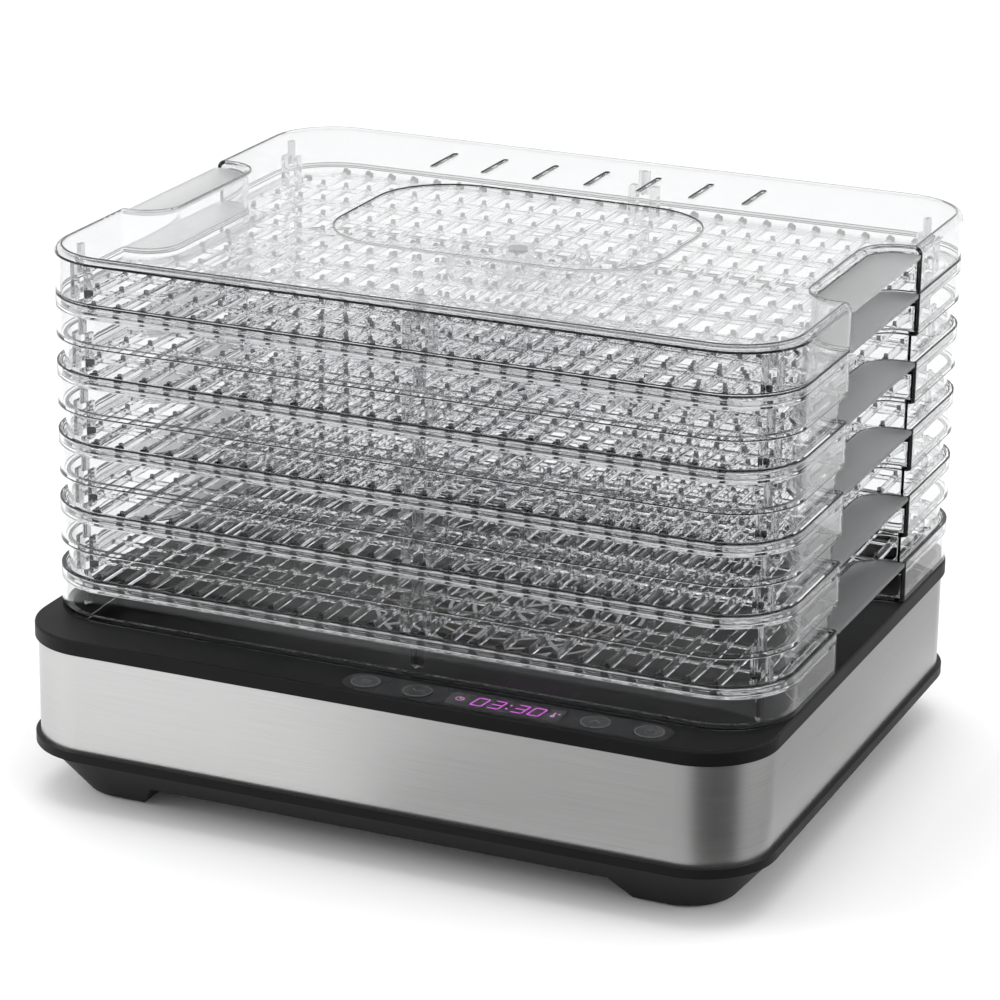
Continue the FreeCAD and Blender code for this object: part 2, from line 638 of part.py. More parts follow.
FOOT_END_X = "(%s / 2 - 0.5 - foot_inset - foot_length)" % FLANGE_WIDTH
FOOT_END_Y = "(%s / 2 - 0.5 - foot_inset - foot_depth)" % FLANGE_DEPTH


def foot_gap(name, half_width, along_x):
    """A trapezoidal channel under the pan that leaves feet at the corners."""
    body = new_body(name)
    sketch = body.newObject("Sketcher::SketchObject", name + "_sketch")
    role = "XZ_Plane" if along_x else "YZ_Plane"
    base = next(f for f in body.Origin.OriginFeatures if f.Role == role)
    sketch.AttachmentSupport = (base, "")
    sketch.MapMode = "FlatFace"
    wide, rise = number(half_width), number("pan_clear")
    slope = 0.7 * rise
    corners = [(-wide, 0), (wide, 0), (wide - slope, rise), (slope - wide, rise)]
    for i in range(4):
        start, end = corners[i], corners[(i + 1) % 4]
        sketch.addGeometry(Part.LineSegment(Vector(*start, 0), Vector(*end, 0)), False)
    for i in range(4):
        sketch.addConstraint(Sketcher.Constraint("Coincident", i, 2, (i + 1) % 4, 1))
    sketch.addConstraint(Sketcher.Constraint("Horizontal", 2))
    constrain(sketch, "low_left", "DistanceX", -1, 1, 0, 1, size="-(%s)" % half_width)
    constrain(sketch, "low_right", "DistanceX", -1, 1, 0, 2, size=half_width)
    constrain(sketch, "high_right", "DistanceX", -1, 1, 1, 2,
              size="%s - 0.7 * pan_clear" % half_width)
    constrain(sketch, "high_left", "DistanceX", -1, 1, 2, 2,
              size="0.7 * pan_clear - (%s)" % half_width)
    constrain(sketch, "base_left", "DistanceY", -1, 1, 0, 1, size="0")
    constrain(sketch, "base_right", "DistanceY", -1, 1, 0, 2, size="0")
    constrain(sketch, "rise", "DistanceY", -1, 1, 1, 2, size="pan_clear")
    feature = pad(body, sketch, "band_width + 60")
    feature.SideType = "Symmetric"
    return body


VENT_COUNT = 9


def base_pan():
    """Lower housing: flange under the steel, tapering sides, four feet and an air intake."""
    outside = taper("pan_taper", "0", "pad_height", FLANGE_LOW)
    flange = prism("pan_flange", FLANGE_WIDTH, FLANGE_DEPTH, "band_radius + trim_overhang",
                   FLANGE_LOW, "trim_drop")
    upstand = prism("pan_upstand", INNER_WIDTH + " - 2 * fit_gap", INNER_DEPTH + " - 2 * fit_gap",
                    INNER_RADIUS + " - fit_gap", "trim_top", "5")
    solid = fuse("pan_solid", [outside, flange, upstand])
    hollow = taper("pan_hollow", "shell_wall + 1", "pan_clear + shell_wall", FLANGE_LOW)
    upper_hollow = prism("pan_upper_hollow",
                         INNER_WIDTH + " - 2 * (fit_gap + shell_wall)",
                         INNER_DEPTH + " - 2 * (fit_gap + shell_wall)",
                         INNER_RADIUS + " - fit_gap - shell_wall", FLANGE_LOW, "trim_drop + 6")
    gaps = [foot_gap("pan_gap_x", FOOT_END_X, True), foot_gap("pan_gap_y", FOOT_END_Y, False)]
    vents = [box("pan_vent_%d" % i, "90 - 3 * abs(%d)" % (i - VENT_COUNT // 2), "4", "pan_clear - 1",
                 "shell_wall + 2", "0", "tray_back + %d * 9" % (i - VENT_COUNT // 2))
             for i in range(VENT_COUNT)]
    shell = cut("pan_shell", solid, [hollow, upper_hollow] + gaps + vents)
    bosses = [tube("pan_boss_" + place, "9", "screw_diameter + 2 * fit_gap",
                   "pan_clear + shell_wall / 2", "shell_wall / 2 + 13.5", "%s * %s" % (sx, PILLAR_X),
                   "%s * %s" % (sy, PILLAR_Y)) for place, sx, sy in PILLARS]
    seats = [tube("pan_seat_" + place, "14", "7", "pan_clear - 1", "shell_wall",
                  "%s * %s" % (sx, PILLAR_X), "%s * %s" % (sy, PILLAR_Y))
             for place, sx, sy in PILLARS]
    drills = [disc("pan_drill_" + place, "screw_diameter + 2 * fit_gap", "pan_clear - 2",
                   "shell_wall + 4", "%s * %s" % (sx, PILLAR_X), "%s * %s" % (sy, PILLAR_Y))
              for place, sx, sy in PILLARS]
    pad_seats = [disc("pan_pad_seat_" + place, "14.4", "pad_height - 1", "2.2",
                      "%s * %s" % (sx, PAD_X), "%s * %s" % (sy, PAD_Y))
                 for place, sx, sy in PILLARS]
    return cut("pan", fuse("pan_with_bosses", [shell] + bosses + seats), drills + pad_seats)


PAD_X = "(%s + foot_length / 2)" % FOOT_END_X
PAD_Y = "(%s + foot_depth / 2)" % FOOT_END_Y


def foot_pads():
    return group("foot_pad_group",
                 [disc("foot_pad_" + place, "14", "0", "pad_height + 1.2", "%s * %s" % (sx, PAD_X),
                       "%s * %s" % (sy, PAD_Y)) for place, sx, sy in PILLARS])


def case_screws():
    """Four screws that join the two housings from below."""
    made = []
    for place, sx, sy in PILLARS:
        x, y = "%s * %s" % (sx, PILLAR_X), "%s * %s" % (sy, PILLAR_Y)
        head = disc("case_screw_head_" + place, "6", "pan_clear - 1.6", "1.6", x, y)
        shank = disc("case_screw_shank_" + place, "screw_diameter", "pan_clear - 0.4", "30", x, y)
        made.append(fuse("case_screw_" + place, [head, shank]))
    return group("case_screw_group", made)


# ------------------------------------------------------------------ controls

def control_panel():
    """Glossy panel with four button holes and a display window."""
    plate = prism("panel_plate", "panel_length", "panel_depth", "panel_depth / 2 - 0.2", SEAT_LOW,
                  "panel_thick", "panel_right", PANEL_Y)
    holes = [disc("panel_hole_" + name, "button_diameter + 2 * joint_gap", SEAT_LOW + " - 1",
                  "panel_thick + 2", x, PANEL_Y) for name, x in BUTTONS]
    window = prism("panel_window", "lens_length + 2 * fit_gap", "lens_depth + 2 * fit_gap", "2.2",
                   SEAT_LOW + " - 1", "panel_thick + 2", "panel_right", PANEL_Y)
    return cut("panel", plate, holes + [window])


def display_lens():
    return prism("lens", "lens_length", "lens_depth", "2", SEAT_LOW, "panel_thick", "panel_right",
                 PANEL_Y)


def button(name, x):
    """Round cap on a stem that reaches down to its switch."""
    cap = new_body(name + "_cap")
    sketch = new_sketch(cap, name + "_cap_sketch", SEAT_LOW + " + button_travel + 0.1")
    circle_in(sketch, "edge", "button_diameter", x, PANEL_Y)
    pad(cap, sketch, "panel_thick - button_travel - 0.1 + button_rise")
    round_top(cap, "button_rise")
    stem_low = BOARD_LOW + " + 1.6 + 4.3 + button_travel"
    stem = disc(name + "_stem", STEM_DIAMETER, stem_low,
                SEAT_LOW + " + button_travel + 0.6 - (%s)" % stem_low, x, PANEL_Y)
    return fuse(name + "_whole", [cap, stem])


def tact_switches():
    made = []
    for name, x in BUTTONS:
        case = box(name + "_switch_case", "6", "6", BOARD_LOW + " + 1.6", "3.5", x, PANEL_Y)
        plunger = disc(name + "_switch_plunger", "3.4", BOARD_LOW + " + 1.6 + 3", "1.2", x, PANEL_Y)
        made.append(fuse(name + "_switch", [case, plunger]))
    return group("tact_switch_group", made)


def control_board():
    return box("control_board_plate", "panel_length + 6", "15", BOARD_LOW, "1.6", "panel_right - 1",
               PANEL_Y + " + 1.5")


def display_module():
    return box("display_case", "40", "12", BOARD_LOW + " + 1.6", "7", "panel_right", PANEL_Y)


# ------------------------------------------------------------------ fan, motor and heater

DUCT_LOW = "(fan_level - 2)"


def air_duct():
    """Round duct under the well, with four lugs that hang the motor bracket."""
    wall = tube("duct_wall_tube", "duct_diameter + 2 * duct_wall", "duct_diameter", DUCT_LOW,
                FLOOR_LOW + " - %s" % DUCT_LOW, "0", "tray_back")
    flange = tube("duct_flange", "duct_diameter + 18", "duct_diameter", FLOOR_LOW + " - 2", "2",
                  "0", "tray_back")
    return fuse("duct", [wall, flange])


BRACKET_LOW = "(fan_level - motor_height - 2 - 1.6)"
BRACKET_REACH = "(duct_diameter / 2 + 12)"


def motor_bracket():
    """Steel strap under the motor with raised ends."""
    strap = box("bracket_strap", "2 * %s" % BRACKET_REACH, "24", BRACKET_LOW, "1.6", "0",
                "tray_back")
    ends = [box("bracket_end_" + side, "1.6", "24", BRACKET_LOW, "(%s - 4 - %s)"
                % (FLOOR_LOW, BRACKET_LOW), "%s * (%s - 0.8)" % (sign, BRACKET_REACH), "tray_back")
            for side, sign in (("left", "-1"), ("right", "1"))]
    tabs = [box("bracket_tab_" + side, "12", "24", FLOOR_LOW + " - 5.6", "1.6",
                "%s * (%s + 4.4)" % (sign, BRACKET_REACH), "tray_back")
            for side, sign in (("left", "-1"), ("right", "1"))]
    return fuse("bracket", [strap] + ends + tabs)


def bracket_posts():
    """Spacers between the bracket's tabs and the deck."""
    return group("bracket_post_group",
                 [disc("bracket_post_" + side, "7", FLOOR_LOW + " - 4", "4",
                       "%s * (%s + 6)" % (sign, BRACKET_REACH), "tray_back")
                  for side, sign in (("left", "-1"), ("right", "1"))])


def motor():
    can = disc("motor_can", "motor_diameter", BRACKET_LOW + " + 1.6", "motor_height - 3", "0",
               "tray_back")
    nose = disc("motor_nose", "16", BRACKET_LOW + " + 1.6 + motor_height - 3", "2.4", "0",
                "tray_back")
    bore = disc("motor_bore", "shaft_diameter + 0.1", BRACKET_LOW + " + 4", "motor_height + 4",
                "0", "tray_back")
    return cut("motor_case", fuse("motor_solid", [can, nose]), [bore])


def motor_shaft():
    return disc("shaft_rod", "shaft_diameter", BRACKET_LOW + " + 4.2",
                "fan_level + 10 - %s - 4.2" % BRACKET_LOW, "0", "tray_back")


FAN_DIAMETER = "(duct_diameter - 2 * fan_gap)"


def fan_impeller():
    """Plate with upright blades, bored for the shaft."""
    plate = disc("fan_plate", FAN_DIAMETER, "fan_level", "1.6", "0", "tray_back")
    boss = disc("fan_boss", "18", "fan_level", "11", "0", "tray_back")
    blades = []
    count = int(number("fan_blades"))
    for i in range(count):
        blade = doc.addObject("Part::Box", "fan_blade_%d" % i)
        blade.setExpression("Length", bind(FAN_DIAMETER + " / 2 - 20"))
        blade.Width = 1.4
        blade.setExpression("Height", bind("fan_height"))
        angle = 2 * math.pi * i / count
        lean = math.radians(35)
        blade.Placement = Placement(Vector(0, 0, 0),
                                    Rotation(Vector(0, 0, 1), math.degrees(angle + lean)))
        blade.setExpression("Placement.Base.x", "18 * cos(%r rad)" % angle)
        blade.setExpression("Placement.Base.y", bind("tray_back + 18 * sin(%r rad)" % angle))
        blade.setExpression("Placement.Base.z", bind("fan_level"))
        blades.append(blade)
    limit = disc("fan_limit", FAN_DIAMETER, "fan_level", "fan_height", "0", "tray_back")
    wheel = common("fan_wheel", fuse("fan_solid", [plate, boss] + blades), limit)
    bore = disc("fan_bore", "shaft_diameter", "fan_level - 1", "fan_height", "0", "tray_back")
    return cut("impeller", wheel, [bore])


HEATER_LOW = "(fan_level + fan_height + 3)"


def heater_frame():
    """Crossed mica boards slotted into the duct."""
    arms = [box("mica_x", "duct_diameter - 2 * fit_gap", "1", HEATER_LOW, "9", "0", "tray_back"),
            box("mica_y", "1", "duct_diameter - 2 * fit_gap", HEATER_LOW, "9", "0", "tray_back")]
    slots = [tube("mica_slot_%d" % i, "%s + coil_wire + 0.6" % size, "%s - coil_wire - 0.6" % size,
                  HEATER_LOW + " + 4.5 - coil_wire / 2 - 0.3", "coil_wire + 0.6", "0", "tray_back")
             for i, size in enumerate(HEATER_RINGS)]
    return cut("mica", fuse("mica_cross", arms), slots)


HEATER_RINGS = ["(duct_diameter - 24)", "(duct_diameter - 56)"]


def heater_coil():
    """Two rings of resistance coil, joined by short tails."""
    made = []
    for i, size in enumerate(HEATER_RINGS):
        loop = doc.addObject("Part::Torus", "coil_loop_%d" % i)
        loop.setExpression("Radius1", bind("(%s) / 2" % size))
        loop.setExpression("Radius2", bind("coil_wire / 2"))
        loop.setExpression("Placement.Base.y", bind("tray_back"))
        loop.setExpression("Placement.Base.z", bind(HEATER_LOW + " + 4.5"))
        made.append(loop)
    return group("coil_group", made)


def fan_guard():
    """Rings and spokes over the duct's mouth."""
    outside = "duct_diameter - 4 - 2 * fit_gap"
    rings = [tube("guard_ring_%d" % i, "(%s) - %d" % (outside, 22 * i),
                  "(%s) - %d - 3.6" % (outside, 22 * i), FLOOR_LOW, "shell_wall", "0", "tray_back")
             for i in range(5)]
    spokes = []
    for i in range(4):
        spoke = doc.addObject("Part::Box", "guard_spoke_%d" % i)
        spoke.setExpression("Length", bind(outside + " - 2"))
        spoke.Width = 2.4
        spoke.setExpression("Height", bind("shell_wall"))
        turn = 45 * i
        spoke.Placement = Placement(Vector(0, 0, 0), Rotation(Vector(0, 0, 1), turn))
        half = "((%s) / 2 - 1)" % outside
        spoke.setExpression("Placement.Base.x", bind("-%s * cos(%d deg) + 1.2 * sin(%d deg)"
                                                     % (half, turn, turn)))
        spoke.setExpression("Placement.Base.y", bind("tray_back - %s * sin(%d deg)"
                                                     " - 1.2 * cos(%d deg)" % (half, turn, turn)))
        spoke.setExpression("Placement.Base.z", bind(FLOOR_LOW))
        spokes.append(spoke)
    return fuse("guard", rings + spokes)


def thermostat():
    """Snap disc thermostat on a strap fixed to the heater's board."""
    can = disc("thermostat_can", "14", HEATER_LOW + " + 0.5", "6.5", "9.5", "tray_back - 9.5")
    strap = box("thermostat_strap", "9", "6", HEATER_LOW + " + 6.5", "0.8", "0.5 + 4.5",
                "tray_back - 9.5")
    return fuse("thermostat_piece", [can, strap])


def thermal_fuse():
    """Round fuse that lies midway between the two heater rings, along their curve."""
    radius, length, mid = "2", "11", "(duct_diameter / 2 - 20)"
    fuse_tube = doc.addObject("Part::Cylinder", "fuse_tube")
    fuse_tube.setExpression("Radius", bind(radius))
    fuse_tube.setExpression("Height", bind(length))
    along = Rotation(Vector(0, 0, 1), Vector(1, 1, 0))
    fuse_tube.Placement = Placement(Vector(0, 0, 0), along)
    half = "%s / 2 * cos(45 deg)" % length
    fuse_tube.setExpression("Placement.Base.x", bind("-%s * cos(45 deg) - %s" % (mid, half)))
    fuse_tube.setExpression("Placement.Base.y", bind("tray_back + %s * cos(45 deg) - %s"
                                                     % (mid, half)))
    fuse_tube.setExpression("Placement.Base.z", bind(HEATER_LOW + " + 4.5"))
    return fuse_tube


POWER_X, POWER_Y = "(-band_width / 2 + 66)", "(band_depth / 2 - 62)"
POWER_LOW = "(pan_clear + shell_wall + 5)"


def power_board():
    return box("power_board_plate", "62", "50", POWER_LOW, "1.6", POWER_X, POWER_Y)


def board_standoffs():
    made = []
    for i, (dx, dy) in enumerate(((-26, -20), (26, -20), (-26, 20), (26, 20))):
        made.append(disc("standoff_%d" % i, "6", "pan_clear + shell_wall", "5",
                         POWER_X + " + (%d)" % dx, POWER_Y + " + (%d)" % dy))
    return group("standoff_group", made)


def power_parts():
    """Transformer, capacitor, relay and terminal block on the power board."""
    low = POWER_LOW + " + 1.6"
    return group("power_part_group", [
        box("transformer", "22", "20", low, "16", POWER_X + " - 16", POWER_Y + " - 10"),
        box("relay", "18", "14", low, "15", POWER_X + " + 14", POWER_Y + " - 12"),
        disc("capacitor", "12", low, "18", POWER_X + " - 14", POWER_Y + " + 14"),
        box("terminal_block", "24", "10", low, "11", POWER_X + " + 12", POWER_Y + " + 15")])


def cord_gland():
    """Bush through the steel band where the supply cord enters."""
    def barrel(name, diameter, length, start):
        piece = doc.addObject("Part::Cylinder", name)
        piece.setExpression("Radius", bind("(%s) / 2" % diameter))
        piece.setExpression("Height", bind(length))
        piece.Placement = Placement(Vector(0, 0, 0), Rotation(Vector(1, 0, 0), -90))
        piece.setExpression("Placement.Base.x", bind("-band_width / 2 + 52"))
        piece.setExpression("Placement.Base.y", bind(start))
        piece.setExpression("Placement.Base.z", bind("trim_top + 16"))
        return piece
    back = "band_depth / 2"
    neck = barrel("gland_neck", "gland_diameter", "6", back + " - 5")
    head = barrel("gland_head", "gland_diameter + 5", "2", back)
    nut = barrel("gland_nut", "gland_diameter + 4", "2.5", back + " - band_wall - 2.5")
    bore = barrel("gland_bore", "gland_diameter - 4.4", "20", back + " - 10")
    return cut("gland", fuse("gland_solid", [neck, head, nut]), [bore])


def temperature_sensor():
    return disc("sensor_bead", "4", FLOOR_LOW + " - 6", "6", "-duct_diameter / 2 - 14",
                "tray_back - 30")


# ------------------------------------------------------------------ the assembly

def build():
    keep("base_pan", base_pan())
    keep("foot_pads", foot_pads())
    keep("steel_band", steel_band())
    keep("deck_cover", deck_cover())
    keep("control_panel", control_panel())
    keep("display_lens", display_lens())
    for name, x in BUTTONS:
        keep(name, button(name, x))
    keep("tact_switches", tact_switches())
    keep("control_board", control_board())
    keep("display_module", display_module())
    keep("air_duct", air_duct())
    keep("motor_bracket", motor_bracket())
    keep("bracket_spacers", bracket_posts())
    keep("fan_motor", motor())
    keep("motor_shaft", motor_shaft())
    keep("fan_impeller", fan_impeller())
    keep("heater_frame", heater_frame())
    keep("heater_coil", heater_coil())
    keep("fan_guard", fan_guard())
    keep("thermostat", thermostat())
    keep("thermal_fuse", thermal_fuse())
    keep("temperature_sensor", temperature_sensor())
    keep("power_board", power_board())
    keep("board_standoffs", board_standoffs())
    keep("power_components", power_parts())
    keep("cord_gland", cord_gland())
    keep("case_screws", case_screws())
    frame, grid, hub = tray_frame(), tray_grid(), tray_hub()
    for level in range(1, 6):
        rise = "deck_height + %d * tray_pitch" % (5 - level)
        keep("tray_%d_frame" % level, frame, rise)
        keep("tray_%d_grid" % level, grid, rise)
        keep("tray_%d_hub" % level, hub, rise)
    keep("lid", lid(), "deck_height + 4 * tray_pitch + rim_height")
    doc.recompute()


def check_and_export():
    """Refuses a failed feature or an empty or broken shape, then writes the STEP files."""
    failed = [item.Name for item in doc.Objects
              if "Invalid" in item.State or "Error" in item.State]
    if failed:
        raise RuntimeError("failed features: " + ", ".join(failed))
    os.makedirs("parts", exist_ok=True)
    for node, item in SUBPARTS.items():
        shape = item.Shape
        if shape.isNull() or not shape.isValid() or not shape.Solids:
            raise RuntimeError("bad shape: " + node)
        shape.exportStep(os.path.join("parts", node + ".step"))
        size = shape.BoundBox
        print("%-20s solids %2d  volume %9.1f  x %7.1f %7.1f  y %7.1f %7.1f  z %6.1f %6.1f" % (
            node, len(shape.Solids), shape.Volume, size.XMin, size.XMax, size.YMin, size.YMax,
            size.ZMin, size.ZMax))


build()
check_and_export()
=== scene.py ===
import math

import bmesh
import bpy
from mathutils import Matrix, Vector


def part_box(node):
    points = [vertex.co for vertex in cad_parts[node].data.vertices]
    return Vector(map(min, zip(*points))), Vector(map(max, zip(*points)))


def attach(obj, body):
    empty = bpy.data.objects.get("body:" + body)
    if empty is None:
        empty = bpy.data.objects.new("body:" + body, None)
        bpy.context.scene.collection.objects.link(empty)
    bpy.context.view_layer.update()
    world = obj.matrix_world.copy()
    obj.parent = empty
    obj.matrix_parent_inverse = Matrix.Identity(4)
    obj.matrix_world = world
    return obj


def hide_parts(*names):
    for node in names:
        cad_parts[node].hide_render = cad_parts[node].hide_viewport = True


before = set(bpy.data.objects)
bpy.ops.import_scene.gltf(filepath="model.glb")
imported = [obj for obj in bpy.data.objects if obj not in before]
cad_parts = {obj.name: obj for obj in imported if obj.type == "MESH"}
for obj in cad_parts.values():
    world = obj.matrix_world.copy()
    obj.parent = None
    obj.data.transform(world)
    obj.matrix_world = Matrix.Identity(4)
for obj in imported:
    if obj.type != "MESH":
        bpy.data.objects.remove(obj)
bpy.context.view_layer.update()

scene = bpy.context.scene
MM = 0.001
SIDES = (("left", -1), ("right", 1))

# ------------------------------------------------------------------ node materials


def material(name, **sockets):
    """A Principled material with its constants on the shader's own sockets."""
    mat = bpy.data.materials.new(name)
    mat.use_nodes = True
    shader = mat.node_tree.nodes["Principled BSDF"]
    for socket, value in sockets.items():
        shader.inputs[socket.replace("_", " ")].default_value = value
    return mat


def node(mat, kind, **settings):
    made = mat.node_tree.nodes.new("ShaderNode" + kind)
    for key, value in settings.items():
        if hasattr(made, key):
            setattr(made, key, value)
        else:
            made.inputs[key.replace("_", " ")].default_value = value
    return made


def link(mat, output, socket):
    mat.node_tree.links.new(output, socket)


def shader_of(mat):
    return mat.node_tree.nodes["Principled BSDF"]


def noise(mat, stretch, scale, detail=4.0, roughness=0.55):
    """Noise over the object's own coordinates, stretched by a factor along each axis."""
    coordinates = node(mat, "TexCoord")
    mapping = node(mat, "Mapping")
    mapping.inputs["Scale"].default_value = stretch
    texture = node(mat, "TexNoise", Scale=scale, Detail=detail, Roughness=roughness)
    link(mat, coordinates.outputs["Object"], mapping.inputs["Vector"])
    link(mat, mapping.outputs["Vector"], texture.inputs["Vector"])
    return texture.outputs["Fac"]


def ramp(mat, value, low, high, start=0.0, end=1.0):
    """Maps a value onto a range of colours or numbers."""
    colours = node(mat, "ValToRGB")
    for element, place, shade in zip(colours.color_ramp.elements, (start, end), (low, high)):
        element.position = place
        element.color = shade if hasattr(shade, "__len__") else (shade, shade, shade, 1)
    link(mat, value, colours.inputs["Fac"])
    return colours.outputs["Color"]


def bump(mat, height, strength, distance):
    made = node(mat, "Bump", Strength=strength, Distance=distance)
    link(mat, height, made.inputs["Height"])
    link(mat, made.outputs["Normal"], shader_of(mat).inputs["Normal"])


def moulded(name, dark, light, rough, grain=900.0, strength=0.25, coat=0.0):
    """Moulded plastic: a fine spark-eroded grain and a faint change of tone."""
    mat = material(name, IOR=1.5, Coat_Weight=coat, Coat_Roughness=0.12)
    fine = noise(mat, (1, 1, 1), grain, 2.0)
    broad = noise(mat, (1, 1, 1), 18.0, 2.0)
    link(mat, ramp(mat, broad, dark, light, 0.3, 0.7), shader_of(mat).inputs["Base Color"])
    link(mat, ramp(mat, broad, rough - 0.04, rough + 0.05, 0.3, 0.7),
         shader_of(mat).inputs["Roughness"])
    bump(mat, fine, strength, 0.0002)
    return mat


def brushed_steel():
    """Horizontal brushing: long fine scratches round the band."""
    mat = material("brushed_steel", Metallic=1.0, Anisotropic=0.55)
    scratches = noise(mat, (1.0, 1.0, 260.0), 14.0, 8.0, 0.75)
    link(mat, ramp(mat, scratches, (0.44, 0.44, 0.44, 1), (0.58, 0.58, 0.575, 1), 0.3, 0.7),
         shader_of(mat).inputs["Base Color"])
    link(mat, ramp(mat, scratches, 0.26, 0.40, 0.3, 0.7), shader_of(mat).inputs["Roughness"])
    bump(mat, scratches, 0.05, 0.0001)
    return mat


def clear_plastic(name, shade, rough=0.0, bend=1.45, haze=0.0):
    """Clear plastic with faint flow marks. Haze is the share of light that it scatters, and bend
    its refractive index, set below the real one so that what lies behind it stays clear."""
    mat = material(name, Base_Color=(shade, shade * 1.005, shade * 1.01, 1), IOR=bend,
                   Transmission_Weight=1.0 - haze)
    flow = noise(mat, (1, 1, 1), 40.0, 1.0)
    link(mat, ramp(mat, flow, rough, rough + 0.004), shader_of(mat).inputs["Roughness"])
    bump(mat, flow, 0.003, 0.0002)
    return mat


def glowing(name, colour, strength):
    mat = material(name, Base_Color=colour, Emission_Color=colour, Emission_Strength=strength)
    cells = noise(mat, (1, 1, 1), 700.0, 1.0)
    link(mat, ramp(mat, cells, 0.35, 0.5), shader_of(mat).inputs["Roughness"])
    return mat


BLACK = moulded("black_housing", (0.004, 0.004, 0.0045, 1), (0.007, 0.007, 0.0075, 1), 0.45)
shader_of(BLACK).inputs["Specular IOR Level"].default_value = 0.12
RUBBER = moulded("rubber_pad", (0.015, 0.015, 0.015, 1), (0.03, 0.03, 0.03, 1), 0.8)
PANEL = moulded("panel_gloss", (0.006, 0.006, 0.007, 1), (0.009, 0.009, 0.010, 1), 0.25,
                strength=0.02, coat=0.05)
shader_of(PANEL).inputs["Specular IOR Level"].default_value = 0.2
BUTTON = moulded("button_gloss", (0.010, 0.010, 0.011, 1), (0.016, 0.016, 0.017, 1), 0.22,
                 strength=0.03, coat=0.1)
RIM = moulded("button_rim", (0.05, 0.05, 0.052, 1), (0.07, 0.07, 0.072, 1), 0.30, strength=0.02,
              coat=0.5)
LENS = moulded("display_glass", (0.006, 0.003, 0.006, 1), (0.010, 0.005, 0.010, 1), 0.10,
               strength=0.01, coat=0.1)
STEEL = brushed_steel()
CLEAR = clear_plastic("clear_polystyrene", 0.88, bend=1.3)
HAZE = clear_plastic("clear_lid_top", 0.91, bend=1.2, haze=0.10)
GRID = clear_plastic("clear_grid", 0.90, bend=1.15)
POST = clear_plastic("clear_post", 0.72, bend=1.2)
FROST = clear_plastic("frosted_polystyrene", 0.84, rough=0.5)
# Painted shade: a grey and a near-black clear plastic for the beads, blocks and pins that stand in
# for the dark lines and marks refraction shows on the clear mouldings.
PAINTED_GREY_SHADING = clear_plastic("grey_painted_shade", 0.22, rough=0.05, bend=1.2)
PAINTED_DARK_SHADING = clear_plastic("dark_painted_shade", 0.002, rough=0.05, bend=1.3)
DIGITS = glowing("display_digits", (0.50, 0.08, 0.52, 1), 0.7)
ICON_LIGHT = glowing("display_icons", (0.45, 0.25, 0.45, 1), 0.35)
PRINT = moulded("printed_icons", (0.11, 0.11, 0.115, 1), (0.14, 0.14, 0.145, 1), 0.5,
                strength=0.02)
ZINC = moulded("zinc_plate", (0.45, 0.45, 0.46, 1), (0.55, 0.55, 0.56, 1), 0.35, strength=0.1)
shader_of(ZINC).inputs["Metallic"].default_value = 1.0
MICA = moulded("mica_board", (0.45, 0.38, 0.28, 1), (0.58, 0.52, 0.40, 1), 0.6)
BOARD = moulded("circuit_board", (0.02, 0.14, 0.05, 1), (0.03, 0.20, 0.08, 1), 0.4)
GREY = moulded("grey_moulding", (0.10, 0.10, 0.10, 1), (0.15, 0.15, 0.15, 1), 0.5)

NODE_MATERIALS = {
    "base_pan": BLACK, "foot_pads": RUBBER, "steel_band": STEEL, "deck_cover": BLACK,
    "control_panel": PANEL, "display_lens": LENS, "display_module": GREY,
    "tray_button": BUTTON, "down_button": BUTTON, "up_button": BUTTON, "power_button": BUTTON,
    "tact_switches": GREY, "control_board": BOARD, "air_duct": GREY, "motor_bracket": ZINC,
    "bracket_spacers": ZINC, "fan_motor": ZINC, "motor_shaft": ZINC, "fan_impeller": GREY,
    "heater_frame": MICA, "heater_coil": ZINC, "fan_guard": ZINC, "thermostat": ZINC,
    "thermal_fuse": MICA, "temperature_sensor": ZINC, "power_board": BOARD,
    "board_standoffs": GREY, "power_components": GREY, "cord_gland": RUBBER,
    "case_screws": ZINC,
}
for name, mat in NODE_MATERIALS.items():
    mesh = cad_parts[name].data
    mesh.materials.clear()
    mesh.materials.append(mat)

# ------------------------------------------------------------------ mesh helpers (millimetres)

SMALLEST_ROUND = 0.05
PLATE_EDGE = 0.25
BEAD_SIDES = 8
BEAD_SMOOTH = 60


def weighted(mesh):
    """Gives flat faces flat shading up to their rounded edges."""
    holder = bpy.data.objects.new(mesh.name, mesh)
    scene.collection.objects.link(holder)
    modifier = holder.modifiers.new("normals", "WEIGHTED_NORMAL")
    modifier.keep_sharp = True
    modifier.weight = 100
    made = bpy.data.meshes.new_from_object(
        holder.evaluated_get(bpy.context.evaluated_depsgraph_get()))
    made.name = mesh.name
    bpy.data.objects.remove(holder)
    return made


def make_mesh(name, points, faces, mat, smooth=35):
    mesh = bpy.data.meshes.new(name)
    mesh.from_pydata([Vector(p) * MM for p in points], [], faces)
    work = bmesh.new()
    work.from_mesh(mesh)
    bmesh.ops.remove_doubles(work, verts=work.verts, dist=1e-6)
    bmesh.ops.recalc_face_normals(work, faces=work.faces)
    work.to_mesh(mesh)
    work.free()
    mesh.shade_smooth()
    mesh.set_sharp_from_angle(angle=math.radians(smooth))
    mesh.materials.append(mat)
    return weighted(mesh)


def add(name, mesh, body, place=(0, 0, 0), replaces=()):
    """Shows a mesh as a piece of a body. The place is in millimetres."""
    piece = bpy.data.objects.new(name, mesh)
    scene.collection.objects.link(piece)
    piece.location = Vector(place) * MM
    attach(piece, body)
    if replaces:
        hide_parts(*replaces)


def arc(x, y, radius, start, end, steps):
    return [(x + radius * math.cos(math.radians(start + (end - start) * k / steps)),
             y + radius * math.sin(math.radians(start + (end - start) * k / steps)))
            for k in range(steps + 1)]


